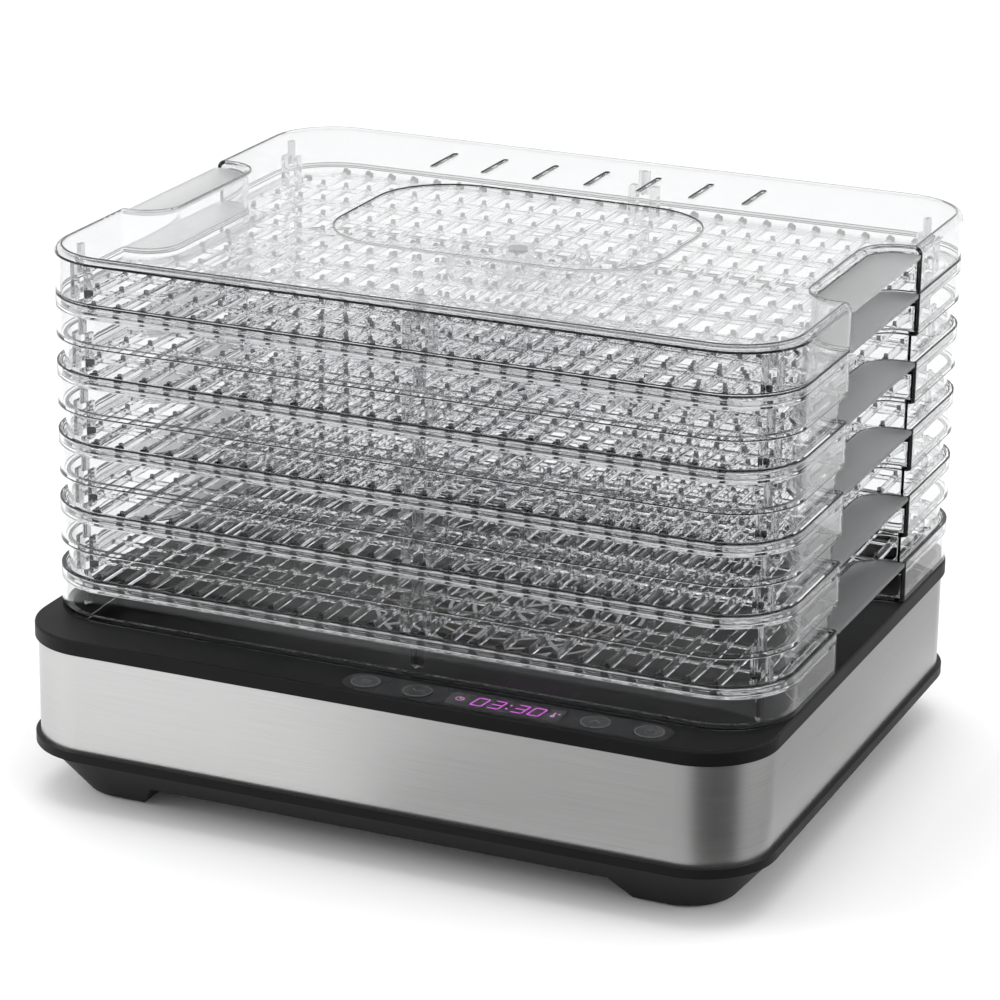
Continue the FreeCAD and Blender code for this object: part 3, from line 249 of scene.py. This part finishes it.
def soften(profile, radius, steps=3):
    """Rounds every corner of a closed profile, by no more than its sides allow."""
    made = []
    for k, here in enumerate(profile):
        here = Vector(here)
        before = Vector(profile[k - 1]) - here
        after = Vector(profile[(k + 1) % len(profile)]) - here
        cut = min(radius, before.length * 0.45, after.length * 0.45)
        start, end = here + before.normalized() * cut, here + after.normalized() * cut
        for step in range(steps + 1):
            t = step / steps
            made.append(tuple(start * (1 - t) ** 2 + here * 2 * t * (1 - t) + end * t ** 2))
    return made


def sweep(loops, closed=True):
    """Joins loops of equal length into a skin. Each loop is closed on itself."""
    points = [p for loop in loops for p in loop]
    size, faces = len(loops[0]), []
    rings = range(len(loops) if closed else len(loops) - 1)
    for r in rings:
        a, b = r * size, ((r + 1) % len(loops)) * size
        for k in range(size):
            n = (k + 1) % size
            faces.append((a + k, a + n, b + n, b + k))
    return points, faces


def block(x0, x1, y0, y1, z0, z1, radius):
    """An upright block with rounded edges."""
    mid_x, mid_y = (x0 + x1) / 2, (y0 + y1) / 2
    loops = []
    for z, inset in ((z0, radius), (z0 + radius, 0), (z1 - radius, 0), (z1, radius)):
        w, d = (x1 - x0) / 2 - inset, (y1 - y0) / 2 - inset
        r = max(radius - inset * 0.5, SMALLEST_ROUND)
        loop = (arc(mid_x + w - r, mid_y - d + r, r, -90, 0, 3)
                + arc(mid_x + w - r, mid_y + d - r, r, 0, 90, 3)
                + arc(mid_x - w + r, mid_y + d - r, r, 90, 180, 3)
                + arc(mid_x - w + r, mid_y - d + r, r, 180, 270, 3))
        loops.append([(x, y, z) for x, y in loop])
    points, faces = sweep(loops, closed=False)
    size = len(loops[0])
    faces.append(tuple(reversed(range(size))))
    faces.append(tuple(range(3 * size, 4 * size)))
    return points, faces


def turned(profile, x, y, steps=48):
    """A closed profile of (radius, z) turned about an upright axis."""
    loops = []
    for radius, z in profile:
        loops.append([(x + radius * math.cos(2 * math.pi * k / steps),
                       y + radius * math.sin(2 * math.pi * k / steps), z) for k in range(steps)])
    return sweep(loops)


def bead(path, radius, closed=True):
    """A thin round bead along a path of points. An open one tapers at its ends."""
    loops, count = [], len(path)
    for i, here in enumerate(path):
        before = path[i - 1] if closed or i else here
        after = path[(i + 1) % count] if closed or i < count - 1 else here
        along = (Vector(after) - Vector(before)).normalized()
        side = along.orthogonal() if abs(along.z) > 0.9 else along.cross(Vector((0, 0, 1)))
        side = side.normalized()
        other = along.cross(side)
        size = radius * (0.2 if not closed and i in (0, count - 1) else 1)
        loops.append([tuple(Vector(here) + side * size * math.cos(a) + other * size * math.sin(a))
                      for a in (math.tau * k / BEAD_SIDES for k in range(BEAD_SIDES))])
    points, faces = sweep(loops, closed)
    if not closed:
        last = BEAD_SIDES * count
        faces += [tuple(reversed(range(BEAD_SIDES))), tuple(range(last - BEAD_SIDES, last))]
    return points, faces


def together(parts):
    points, faces = [], []
    for more_points, more_faces in parts:
        shift = len(points)
        points += more_points
        faces += [tuple(i + shift for i in face) for face in more_faces]
    return points, faces


def plate(name, outlines, low, high, mat):
    """A flat plate with holes: the first outline is its edge, the others are the holes."""
    curve = bpy.data.curves.new(name, "CURVE")
    curve.dimensions = "2D"
    curve.fill_mode = "BOTH"
    curve.extrude = ((high - low) / 2 - PLATE_EDGE) * MM
    curve.bevel_depth = PLATE_EDGE * MM
    curve.bevel_resolution = 1
    curve.offset = -PLATE_EDGE * MM
    for outline in outlines:
        spline = curve.splines.new("POLY")
        spline.points.add(len(outline) - 1)
        for point, (x, y) in zip(spline.points, outline):
            point.co = (x * MM, y * MM, 0, 1)
        spline.use_cyclic_u = True
    holder = bpy.data.objects.new(name, curve)
    scene.collection.objects.link(holder)
    mesh = bpy.data.meshes.new_from_object(
        holder.evaluated_get(bpy.context.evaluated_depsgraph_get()))
    bpy.data.objects.remove(holder)
    mesh.name = name
    mesh.transform(Matrix.Translation((0, 0, (low + high) / 2 * MM)))
    work = bmesh.new()
    work.from_mesh(mesh)
    bmesh.ops.remove_doubles(work, verts=work.verts, dist=1e-6)
    bmesh.ops.recalc_face_normals(work, faces=work.faces)
    work.to_mesh(mesh)
    work.free()
    mesh.shade_flat()
    mesh.materials.clear()
    mesh.materials.append(mat)
    return mesh


def rounded_box_outline(x, y, width, depth, radius, steps=8):
    w, d = width / 2 - radius, depth / 2 - radius
    return (arc(x + w, y - d, radius, -90, 0, steps) + arc(x + w, y + d, radius, 0, 90, steps)
            + arc(x - w, y + d, radius, 90, 180, steps)
            + arc(x - w, y - d, radius, 180, 270, steps))


# ------------------------------------------------------------------ sizes from the frame

def size_of(name):
    low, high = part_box(name)
    return low / MM, high / MM


low, high = size_of("tray_1_frame")
WIDTH, DEPTH = high.x - low.x, high.y - low.y
MID_Y = (low.y + high.y) / 2
GRID_TOP, LEDGE_TOP, LEDGE_LOW, LEDGE_INSET = 16.7, 14.7, 13.2, 6.8
WALL_TOP, WALL_THICK = 19.5, 2
SKIRT_INSET, SKIRT_THICK, SKIRT_LOW = 5.0, 1.6, -14.5
walls = {n: size_of("tray_%d_grid" % n)[1].z - GRID_TOP for n in range(1, 6)}
lid_low, lid_high = size_of("lid")
CORNER = 33.0
GRIP_LENGTH, GRIP_DEPTH, GRIP_CORNER = 91.0, 20.5, 14.0
GRIP_Y = MID_Y - 3.5
POST_X, POST_FRONT, POST_REAR, POST_MIDDLE = 158.5, 110.0, 95.0, 117.0
FRONT_SHIFT, REAR_SHIFT = 6.0, 14.0
LIP_ROUND = 3.2
LEG_DEPTH, LEG_WALL = 5.0, 1.4
CORNER_STEPS = 10


def outline(inset):
    """The trays' plan outline moved inwards, with the finger recesses on both sides."""
    half, radius = WIDTH / 2 - inset, CORNER - inset
    front, back = MID_Y - DEPTH / 2 + inset, MID_Y + DEPTH / 2 - inset
    lip = max(LIP_ROUND - inset, 0.5)
    start, end = GRIP_Y - GRIP_LENGTH / 2 - inset, GRIP_Y + GRIP_LENGTH / 2 + inset
    deep, hollow = WIDTH / 2 - GRIP_DEPTH + GRIP_CORNER, GRIP_CORNER + inset
    right = (arc(half - radius, front + radius, radius, -90, 0, CORNER_STEPS)
             + arc(half - lip, start - lip, lip, 0, 90, 4)
             + arc(deep, start + hollow, hollow, 270, 180, 6)
             + arc(deep, end - hollow, hollow, 180, 90, 6)
             + arc(half - lip, end + lip, lip, -90, 0, 4)
             + arc(half - radius, back - radius, radius, 0, 90, CORNER_STEPS))
    left = [(-x, y) for x, y in reversed(right)]
    return right + left


def ring(profile):
    """Sweeps a closed profile of (inset, z) round the trays' outline."""
    return sweep([[(x, y, z) for x, y in outline(inset)] for inset, z in profile])


# ------------------------------------------------------------------ trays

def tray_shell():
    """Wall, step, skirt and grid ledge in one thin moulding."""
    wall = soften([(0, 0), (0, WALL_TOP), (WALL_THICK, WALL_TOP), (WALL_THICK, LEDGE_TOP),
                   (LEDGE_INSET, LEDGE_TOP), (LEDGE_INSET, LEDGE_LOW), (WALL_THICK, LEDGE_LOW),
                   (WALL_THICK, SKIRT_THICK), (SKIRT_INSET, SKIRT_THICK), (SKIRT_INSET, SKIRT_LOW),
                   (SKIRT_INSET - SKIRT_THICK, SKIRT_LOW), (SKIRT_INSET - SKIRT_THICK, 0)], 0.45)
    return make_mesh("tray_shell", *ring(wall), CLEAR)


def cross_leg(x, y, width, top, bottom):
    """A leg with a cross-shaped section."""
    half, deep = LEG_WALL / 2, LEG_DEPTH / 2
    return [block(x - width / 2, x + width / 2, y - half, y + half, bottom, top, 0.25),
            block(x - half, x + half, y - deep, y + deep, bottom, top, 0.25)]


def post_places():
    """Each post pair's place, the width of its posts and the width of its leg."""
    for sx in (-1, 1):
        yield sx * POST_X, MID_Y - POST_FRONT, 2.0, 3.6
        yield sx * POST_X, MID_Y + POST_REAR, 2.0, 3.6
    yield FRONT_SHIFT, MID_Y - POST_MIDDLE, 3.9, 5.6
    yield REAR_SHIFT, MID_Y + POST_MIDDLE, 3.9, 5.6


def tray_posts():
    """Pairs of posts that carry the next tray, and the legs that stand between such pairs."""
    parts = []
    for x, y, post, leg in post_places():
        for side in (-1, 1):
            mid = x + side * (leg + 1 + post) / 2
            parts.append(block(mid - post / 2, mid + post / 2, y - 2.5, y + 2.5, 14.0, 31.1, 0.4))
        parts += cross_leg(x, y, leg, 14.4, -1.2)
    return make_mesh("tray_posts", *together(parts), POST)


def grip_outline(side):
    """The frosted grip plate that closes a finger recess at the rim."""
    edge, inner = WIDTH / 2, WIDTH / 2 - GRIP_DEPTH
    start, end = GRIP_Y - GRIP_LENGTH / 2, GRIP_Y + GRIP_LENGTH / 2
    shape = ([(edge, start)] + [(edge, end)]
             + arc(inner + GRIP_CORNER, end - GRIP_CORNER, GRIP_CORNER, 90, 180, 8)
             + arc(inner + GRIP_CORNER, start + GRIP_CORNER, GRIP_CORNER, 180, 270, 8))
    return [(side * x, y) for x, y in shape]


BAR_TOP = GRID_TOP + 1.2
PITCH_X, PITCH_Y, ROWS, COLUMNS = 12.0, 25.0, 5, 13
BAR_INSET = 7.0
BESIDE_GRIP = WIDTH / 2 - GRIP_DEPTH - BAR_INSET


def bar_spans(x):
    """Where a long bar runs: all the way, or only in front of and behind the finger recess."""
    front, back = MID_Y - DEPTH / 2 + BAR_INSET, MID_Y + DEPTH / 2 - BAR_INSET
    if abs(x) < BESIDE_GRIP:
        return [(front, back)]
    clear = GRIP_LENGTH / 2 + BAR_INSET
    return [(front + 18, GRIP_Y - clear), (GRIP_Y + clear, back - 18)]


def row_reach(row, y):
    """How far a cross bar reaches from the middle."""
    reach = WIDTH / 2 - BAR_INSET
    if abs(y - GRIP_Y) < GRIP_LENGTH / 2 + BAR_INSET:
        return reach - GRIP_DEPTH
    return reach - 14 if abs(row) == ROWS else reach


def bars():
    """The drying grid: tall bars front to back, low cross bars and a flat border."""
    border = soften([(2.3, 14.9), (2.3, GRID_TOP), (8.5, GRID_TOP), (8.5, 14.9)], 0.4)
    parts = [ring(border)]
    for column in range(-COLUMNS, COLUMNS + 1):
        x = column * PITCH_X
        parts += [block(x - 1.6, x + 1.6, a, b, LEDGE_TOP, BAR_TOP, 0.5) for a, b in bar_spans(x)]
    for row in range(-ROWS, ROWS + 1):
        y = MID_Y + row * PITCH_Y
        reach = row_reach(row, y)
        parts.append(block(-reach, reach, y - 1.7, y + 1.7, LEDGE_TOP, GRID_TOP - 0.3, 0.4))
    return make_mesh("tray_bars", *together(parts), GRID)


def pins():
    """A short upright pin at each crossing of the grid, tinted dark grey: painted shade for the
    darkness the small clear pins show.
    """
    parts = []
    for row in range(-ROWS, ROWS + 1):
        y = MID_Y + row * PITCH_Y
        for column in range(-COLUMNS, COLUMNS + 1):
            x = column * PITCH_X
            if abs(x) < row_reach(row, y):
                parts.append(block(x - 0.9, x + 0.9, y - 0.8, y + 0.8, GRID_TOP, BAR_TOP + 1.6, 0.3))
    return make_mesh("tray_pins", *together(parts), PAINTED_GREY_SHADING)


def bar_ends():
    """Painted shade: near-black blocks on the front and back ends of the long bars, standing in for
    the dark ends they show from outside.
    """
    parts = []
    for column in range(-COLUMNS, COLUMNS + 1):
        x = column * PITCH_X
        spans = bar_spans(x)
        for y, side in ((spans[0][0], 1), (spans[-1][1], -1)):
            near, far = sorted((y - side * 0.2, y + side * 1.4))
            parts.append(block(x - 1.9, x + 1.9, near, far, LEDGE_TOP + 1.0, BAR_TOP + 0.6, 0.4))
    return make_mesh("tray_bar_ends", *together(parts), PAINTED_DARK_SHADING)


def level(inset, z):
    """The trays' outline as a path at one height."""
    return [(x, y, z) for x, y in outline(inset)]


def tray_edges():
    """Painted shade: near-black beads along the moulding's rim, step and lower edge, standing in for
    the dark lines they show from outside.
    """
    return make_mesh("tray_edges", *together([
        bead(level(0.5, 19.0), 0.32), bead(level(2.3, 18.6), 0.26),
        bead(level(0.5, 0.6), 0.28)]), PAINTED_DARK_SHADING, BEAD_SMOOTH)


def lip_shade_line(low, high):
    """Painted shade: a bead up the edge of the wall behind the right finger recess, standing in for
    the dark line it shows.
    """
    x, y = WIDTH / 2 - 1.3, GRIP_Y + GRIP_LENGTH / 2 + 1.3
    return bead([(x, y, z) for z in (low, low + 1, high - 1, high)], 0.6, closed=False)


def hub():
    """Centre ring, boss and spokes."""
    base = GRID_TOP
    wall = turned(soften([(32, base), (32, base + 9.5), (30.4, base + 9.5), (30.4, base)], 0.4),
                  0, MID_Y, 72)
    inner = turned(soften([(14.5, base), (14.5, base + 3), (13.4, base + 3), (13.4, base)], 0.3),
                   0, MID_Y, 48)
    boss = turned(soften([(7.2, base), (7.2, base + 12.5), (4.6, base + 12.5), (4.6, base)], 0.5),
                  0, MID_Y, 40)
    spokes = [block(-31, -6, MID_Y - 0.8, MID_Y + 0.8, base, base + 2.2, 0.3),
              block(6, 31, MID_Y - 0.8, MID_Y + 0.8, base, base + 2.2, 0.3),
              block(-0.8, 0.8, MID_Y - 31, MID_Y - 6, base, base + 2.2, 0.3),
              block(-0.8, 0.8, MID_Y + 6, MID_Y + 31, base, base + 2.2, 0.3)]
    return make_mesh("tray_hub_mesh", *together([wall, inner, boss] + spokes), GRID)


def eyelet():
    """Grey cap on the hub's boss."""
    base = GRID_TOP + 10.6
    cap = turned(soften([(0.6, base), (4.5, base), (4.5, base + 1.6), (2.2, base + 1.2),
                         (0.6, base + 0.6)], 0.25), 0, MID_Y, 32)
    return make_mesh("hub_eyelet", *cap, GREY)


shell_mesh, posts_mesh, bars_mesh, hub_mesh = tray_shell(), tray_posts(), bars(), hub()
eyelet_mesh, pins_mesh, end_shade_mesh, shade_lines_mesh = eyelet(), pins(), bar_ends(), tray_edges()
# The lip bead is painted shade: a near-black line up the wall's edge.
lip_shade_mesh = make_mesh("tray_lip", *lip_shade_line(1.5, 19.0), PAINTED_DARK_SHADING, BEAD_SMOOTH)
grip_meshes = {side: plate("grip_" + name, [grip_outline(side)], 17.5, 19.5, FROST)
               for name, side in SIDES}
for n, wall in walls.items():
    body = "tray_%d" % n
    add(body + "_shell", shell_mesh, body, (0, 0, wall), [body + "_frame"])
    add(body + "_posts", posts_mesh, body, (0, 0, wall))
    add(body + "_bars", bars_mesh, body, (0, 0, wall), [body + "_grid"])
    add(body + "_ring", hub_mesh, body, (0, 0, wall), [body + "_hub"])
    # The bar end blocks, the edge beads and the lip bead added here are painted shade.
    for name, mesh in (("eyelet", eyelet_mesh), ("pins", pins_mesh), ("bar_ends", end_shade_mesh),
                       ("edges", shade_lines_mesh), ("lip", lip_shade_mesh)):
        add("%s_%s" % (body, name), mesh, body, (0, 0, wall))
    for name, side in SIDES:
        add("%s_grip_%s" % (body, name), grip_meshes[side], body, (0, 0, wall))

# ------------------------------------------------------------------ lid

LID = lid_high.z - lid_low.z
LINE_DROP = 0.35
SHOULDER, SHOULDER_INSIDE = 3.4, 1.6


def lid_wall():
    """Side wall with a rounded shoulder."""
    shoulder = [(SHOULDER - SHOULDER * math.cos(math.radians(a)),
                 LID - SHOULDER + SHOULDER * math.sin(math.radians(a))) for a in range(0, 91, 15)]
    inner = [(3.6 - SHOULDER_INSIDE * math.cos(math.radians(a)),
              LID - 3.8 + SHOULDER_INSIDE * math.sin(math.radians(a))) for a in range(90, -1, -30)]
    profile = [(0.4, 0.0), (0.0, 0.5)] + shoulder + inner + [(2.0, 0.5), (1.6, 0.0)]
    return make_mesh("lid_wall", *ring(profile), CLEAR)


def slot_outline(x):
    return rounded_box_outline(x, MID_Y + 92, 2.4, 28, 1.19, 5)


SLOT_PITCH = 25.7
SLOTS = [i * SLOT_PITCH for i in range(-3, 4)]
WINDOW = (0, MID_Y, 154, 112, 36)  # centre, width, depth and corner radius


def lid_top():
    """Flat top with the steam slots and the hole for the window."""
    hole = rounded_box_outline(*WINDOW)
    return plate("lid_top", [outline(3.4), hole] + [slot_outline(x) for x in SLOTS],
                 LID - 2.2, LID, HAZE)


def lid_window():
    x, y, w, d, r = WINDOW
    return plate("lid_window", [rounded_box_outline(x, y, w + 1, d + 1, r + 0.5)],
                 LID - 2.6, LID - 0.8, HAZE)


def lid_legs():
    parts = []
    for x, y, _, leg in post_places():
        parts += cross_leg(x, y, leg, LID - 2.0, LID - 13.2)
    return make_mesh("lid_legs", *together(parts), POST)


def front_path(inset, z):
    """The outline's front stretch, round both front corners."""
    limit = MID_Y - DEPTH / 2 + CORNER + 12
    path = level(inset, z)
    half = len(path) // 2
    right = [p for p in path[:half] if p[1] < limit]
    left = [p for p in path[half:] if p[1] < limit]
    return left + right


def lid_shade_lines():
    """Painted shade: near-black beads standing in for the dark lines where the rounded shoulder
    bends what lies behind it, at the lower edge, at the lip behind the right grip and round the
    steam slots and the window.
    """
    return make_mesh("lid_shade_lines", *together([
        bead(front_path(0.55, LID - 2.9), 0.52, closed=False),
        bead(front_path(3.2, LID - LINE_DROP), 0.34, closed=False),
        bead(level(0.5, 0.7), 0.26), lip_shade_line(1.0, LID - 4)]
        + [bead(q, 0.34) for q in slot_paths()]
        + [bead(window_path(), 0.26)]), PAINTED_DARK_SHADING, BEAD_SMOOTH)


def slot_paths():
    return [[(px, py, LID - LINE_DROP) for px, py in slot_outline(x)] for x in SLOTS]


def window_path():
    x, y, w, d, r = WINDOW
    return [(px, py, LID - LINE_DROP) for px, py in rounded_box_outline(x, y, w, d, r)]


def lid_rim_shade():
    """Painted shade: grey beads along the edge of the lid's top and of its two grip plates, standing
    in for the grey lines these edges show.
    """
    grips = []
    for side in (-1, 1):
        inner = [(x, y, LID - 2.9) for x, y in grip_outline(side)[2:]]
        grips.append(bead(inner, 0.35, closed=False))
    rim = bead(level(3.0, LID - LINE_DROP), 0.24)
    return make_mesh("lid_rim_shade", *together([rim] + grips), PAINTED_GREY_SHADING, BEAD_SMOOTH)


base = lid_low.z
add("lid_shell", lid_wall(), "lid_body", (0, 0, base), ["lid"])
add("lid_top_plate", lid_top(), "lid_body", (0, 0, base))
add("lid_window_plate", lid_window(), "lid_body", (0, 0, base))
add("lid_leg_set", lid_legs(), "lid_body", (0, 0, base))
# The edge lines and rim lines added here are beads of painted shade.
add("lid_painted_shade_lines", lid_shade_lines(), "lid_body", (0, 0, base))
add("lid_rim_shade_lines", lid_rim_shade(), "lid_body", (0, 0, base))
for name, side in SIDES:
    mesh = plate("lid_grip_" + name, [grip_outline(side)], LID - 5, LID - 3, FROST)
    add("lid_grip_" + name, mesh, "lid_body", (0, 0, base))

# ------------------------------------------------------------------ display and icons

panel_low, panel_high = size_of("control_panel")
lens_low, lens_high = size_of("display_lens")
PANEL_Y = (panel_low.y + panel_high.y) / 2
LENS_X = (lens_low.x + lens_high.x) / 2
FACE = panel_high.z
STROKE_THICK = 0.12
DIGIT_WIDTH, DIGIT_HEIGHT, DIGIT_SLANT, DIGIT_STROKE = 5.0, 8.2, 0.14, 0.5
DIGIT_PITCH, COLON_PITCH = 7.6, 3.0


def stroke(points, width, low):
    """A flat stroke along an open path of points."""
    parts = []
    for (x0, y0), (x1, y1) in zip(points, points[1:]):
        d = Vector((x1 - x0, y1 - y0))
        n = Vector((-d.y, d.x)).normalized() * width / 2
        e = d.normalized() * width / 2
        corners = [(x0 - e.x + n.x, y0 - e.y + n.y), (x0 - e.x - n.x, y0 - e.y - n.y),
                   (x1 + e.x - n.x, y1 + e.y - n.y), (x1 + e.x + n.x, y1 + e.y + n.y)]
        loops = [[(x, y, z) for x, y in corners] for z in (low, low + STROKE_THICK)]
        skin, faces = sweep(loops, closed=False)
        faces += [(3, 2, 1, 0), (4, 5, 6, 7)]
        parts.append((skin, faces))
    return together(parts)


SEGMENTS = {"0": "abcdef", "3": "abcdg"}


def digit(char, x, y, z):
    """A seven-segment digit made of bars that lean to the right."""
    def at(u, v):
        return (x + u * DIGIT_WIDTH + DIGIT_SLANT * v * DIGIT_HEIGHT, y + (v - 0.5) * DIGIT_HEIGHT)
    gap = 0.10
    places = {"a": (at(gap, 1), at(1 - gap, 1)), "g": (at(gap, 0.5), at(1 - gap, 0.5)),
              "d": (at(gap, 0), at(1 - gap, 0)), "f": (at(0, 0.56), at(0, 0.94)),
              "e": (at(0, 0.06), at(0, 0.44)), "b": (at(1, 0.56), at(1, 0.94)),
              "c": (at(1, 0.06), at(1, 0.44))}
    return [stroke(places[s], DIGIT_STROKE, z) for s in SEGMENTS[char]]


def display():
    parts, x = [], LENS_X - 14.6
    for char in "03:30":
        if char == ":":
            for v in (-2.0, 2.0):
                dot = soften([(0.01, FACE), (0.55, FACE), (0.55, FACE + STROKE_THICK),
                              (0.01, FACE + STROKE_THICK)], 0.03, 1)
                parts.append(turned(dot, x + v * 0.18 + 0.9, PANEL_Y + v, 12))
            x += COLON_PITCH
        else:
            parts += digit(char, x, PANEL_Y, FACE)
            x += DIGIT_PITCH
    return make_mesh("display_time", *together(parts), DIGITS)


def ring_icon(x, y, radius, width, z):
    top = z + STROKE_THICK
    return turned([(radius, z), (radius, top), (radius - width, top), (radius - width, z)], x, y, 32)


def clock_icon():
    x = LENS_X - 20.8
    return make_mesh("clock_icon", *together([
        ring_icon(x, PANEL_Y, 2.0, 0.4, FACE),
        stroke([(x, PANEL_Y + 1.2), (x, PANEL_Y), (x + 0.9, PANEL_Y)], 0.3, FACE)]), ICON_LIGHT)


def thermometer_icon():
    x = LENS_X + 21.6
    return make_mesh("thermometer_icon", *together([
        ring_icon(x, PANEL_Y - 1.3, 1.0, 0.6, FACE),
        stroke([(x, PANEL_Y - 0.4), (x, PANEL_Y + 2.2)], 0.7, FACE),
        ring_icon(x + 2.0, PANEL_Y + 1.5, 0.6, 0.25, FACE)]), ICON_LIGHT)


add("display_time", display(), "base")
add("clock_icon", clock_icon(), "base")
add("thermometer_icon", thermometer_icon(), "base")


def button_rim(button):
    low, high = size_of(button)
    x, y, z = (low.x + high.x) / 2, (low.y + high.y) / 2, high.z
    radius = (high.x - low.x) / 2 - 0.1
    rim = turned(soften([(radius, z - 0.3), (radius, z + 0.05), (radius - 0.7, z + 0.05),
                         (radius - 0.7, z - 0.3)], 0.1, 2), x, y, 48)
    add(button + "_rim", make_mesh(button + "_rim", *rim, RIM), button + "_body")


def icon(button, build):
    low, high = size_of(button)
    x, y, z = (low.x + high.x) / 2, (low.y + high.y) / 2, high.z
    add(button + "_icon", make_mesh(button + "_icon", *together(build(x, y, z)), PRINT),
        button + "_body")


for button in ("tray_button", "down_button", "up_button", "power_button"):
    button_rim(button)
icon("tray_button", lambda x, y, z: [
    stroke([(x - 2.2, y + step), (x + 2.2, y + step)], 0.35, z) for step in (-1.3, 0, 1.3)])
icon("down_button", lambda x, y, z: [
    stroke([(x - 2.2, y + 1.0), (x, y - 1.2), (x + 2.2, y + 1.0)], 0.4, z)])
icon("up_button", lambda x, y, z: [
    stroke([(x - 2.2, y - 1.0), (x, y + 1.2), (x + 2.2, y - 1.0)], 0.4, z)])
icon("power_button", lambda x, y, z: [
    stroke(arc(x, y, 2.2, 120, 420, 20), 0.4, z), stroke([(x, y + 0.4), (x, y + 2.8)], 0.4, z)])

# ------------------------------------------------------------------ camera, floor and light


CAMERA_LENS, CAMERA_DISTANCE = 139.19, 1.7363
CAMERA_AZIMUTH, CAMERA_ELEVATION, CAMERA_ROLL = 23.09, 19.17, 0.89
CAMERA_TARGET = (-0.00174, 0, 0.120)
FLOOR_HALF, CARD_LIFT = 6, 0.001
CLEAR_BOUNCES = 40


def make_camera():
    """A long lens with a little roll, aimed at the middle of the stack."""
    data = bpy.data.cameras.new("camera")
    data.sensor_width = 36
    data.lens = CAMERA_LENS
    camera = bpy.data.objects.new("camera", data)
    scene.collection.objects.link(camera)
    azimuth, elevation, roll = map(math.radians, (CAMERA_AZIMUTH, CAMERA_ELEVATION, CAMERA_ROLL))
    back = Vector((math.sin(azimuth) * math.cos(elevation),
                   -math.cos(azimuth) * math.cos(elevation), math.sin(elevation)))
    target = Vector(CAMERA_TARGET)
    right = Vector((0, 0, 1)).cross(back).normalized()
    up = back.cross(right)
    tilted = right * math.cos(roll) + up * math.sin(roll)
    upright = -right * math.sin(roll) + up * math.cos(roll)
    turn = Matrix((tilted, upright, back)).transposed()
    camera.matrix_world = Matrix.Translation(target + back * CAMERA_DISTANCE) @ turn.to_4x4()
    scene.camera = camera


def make_floor():
    mat = material("floor_paper", Roughness=0.6)
    tone = noise(mat, (1, 1, 1), 3.0, 2.0)
    link(mat, ramp(mat, tone, (0.93, 0.93, 0.93, 1), (0.95, 0.95, 0.95, 1)),
         shader_of(mat).inputs["Base Color"])
    mesh = bpy.data.meshes.new("floor")
    corners = [(-FLOOR_HALF, -FLOOR_HALF, 0), (FLOOR_HALF, -FLOOR_HALF, 0),
               (FLOOR_HALF, FLOOR_HALF, 0), (-FLOOR_HALF, FLOOR_HALF, 0)]
    mesh.from_pydata(corners, [], [(0, 1, 2, 3)])
    mesh.materials.append(mat)
    floor = bpy.data.objects.new("floor", mesh)
    scene.collection.objects.link(floor)


def area_light(name, place, target, size, power):
    data = bpy.data.lights.new(name, "AREA")
    data.shape = "RECTANGLE"
    data.size, data.size_y = size
    data.energy = power
    lamp = bpy.data.objects.new(name, data)
    scene.collection.objects.link(lamp)
    lamp.location = place
    lamp.rotation_mode = "QUATERNION"
    lamp.rotation_quaternion = (Vector(place) - Vector(target)).to_track_quat("Z", "Y")


def reflector(name, corners, shade):
    """A card on the floor that only gloss and steel reflect."""
    mat = moulded(name + "_paper", (shade, shade, shade, 1), (shade, shade, shade, 1), 0.9)
    mesh = bpy.data.meshes.new(name)
    mesh.from_pydata([(x, y, CARD_LIFT) for x, y in corners], [], [(0, 1, 2, 3)])
    mesh.materials.append(mat)
    card = bpy.data.objects.new(name, mesh)
    scene.collection.objects.link(card)
    card.visible_camera = card.visible_diffuse = card.visible_shadow = False
    card.visible_transmission = False


def make_world():
    world = bpy.data.worlds.new("studio")
    scene.world = world
    world.use_nodes = True
    world.node_tree.nodes["Background"].inputs["Color"].default_value = (1, 1, 1, 1)
    world.node_tree.nodes["Background"].inputs["Strength"].default_value = 1.0


make_camera()
make_floor()
make_world()
reflector("corner_card", [(0.16, -0.19), (0.17, -0.9), (1.0, -0.3), (0.21, -0.14)], 0.02)
reflector("front_card", [(-0.02, -0.19), (-0.30, -0.9), (0.17, -0.9), (0.16, -0.19)], 0.45)
reflector("right_card", [(0.21, -0.14), (1.0, -0.3), (1.0, 0.7), (0.21, 0.3)], 0.40)
area_light("overhead", (0.0, 0.1, 1.6), (0, 0, 0.1), (1.6, 1.2), 10)
area_light("left_key", (-1.5, -0.9, 0.9), (0, 0, 0.12), (0.9, 1.2), 9)
area_light("right_fill", (1.7, 0.2, 0.7), (0, 0, 0.12), (0.8, 1.0), 6)
scene.view_settings.view_transform = "Standard"
scene.cycles.max_bounces = CLEAR_BOUNCES
scene.cycles.transmission_bounces = CLEAR_BOUNCES
scene.cycles.transparent_max_bounces = CLEAR_BOUNCES
scene.cycles.glossy_bounces = 6
scene.cycles.diffuse_bounces = 3
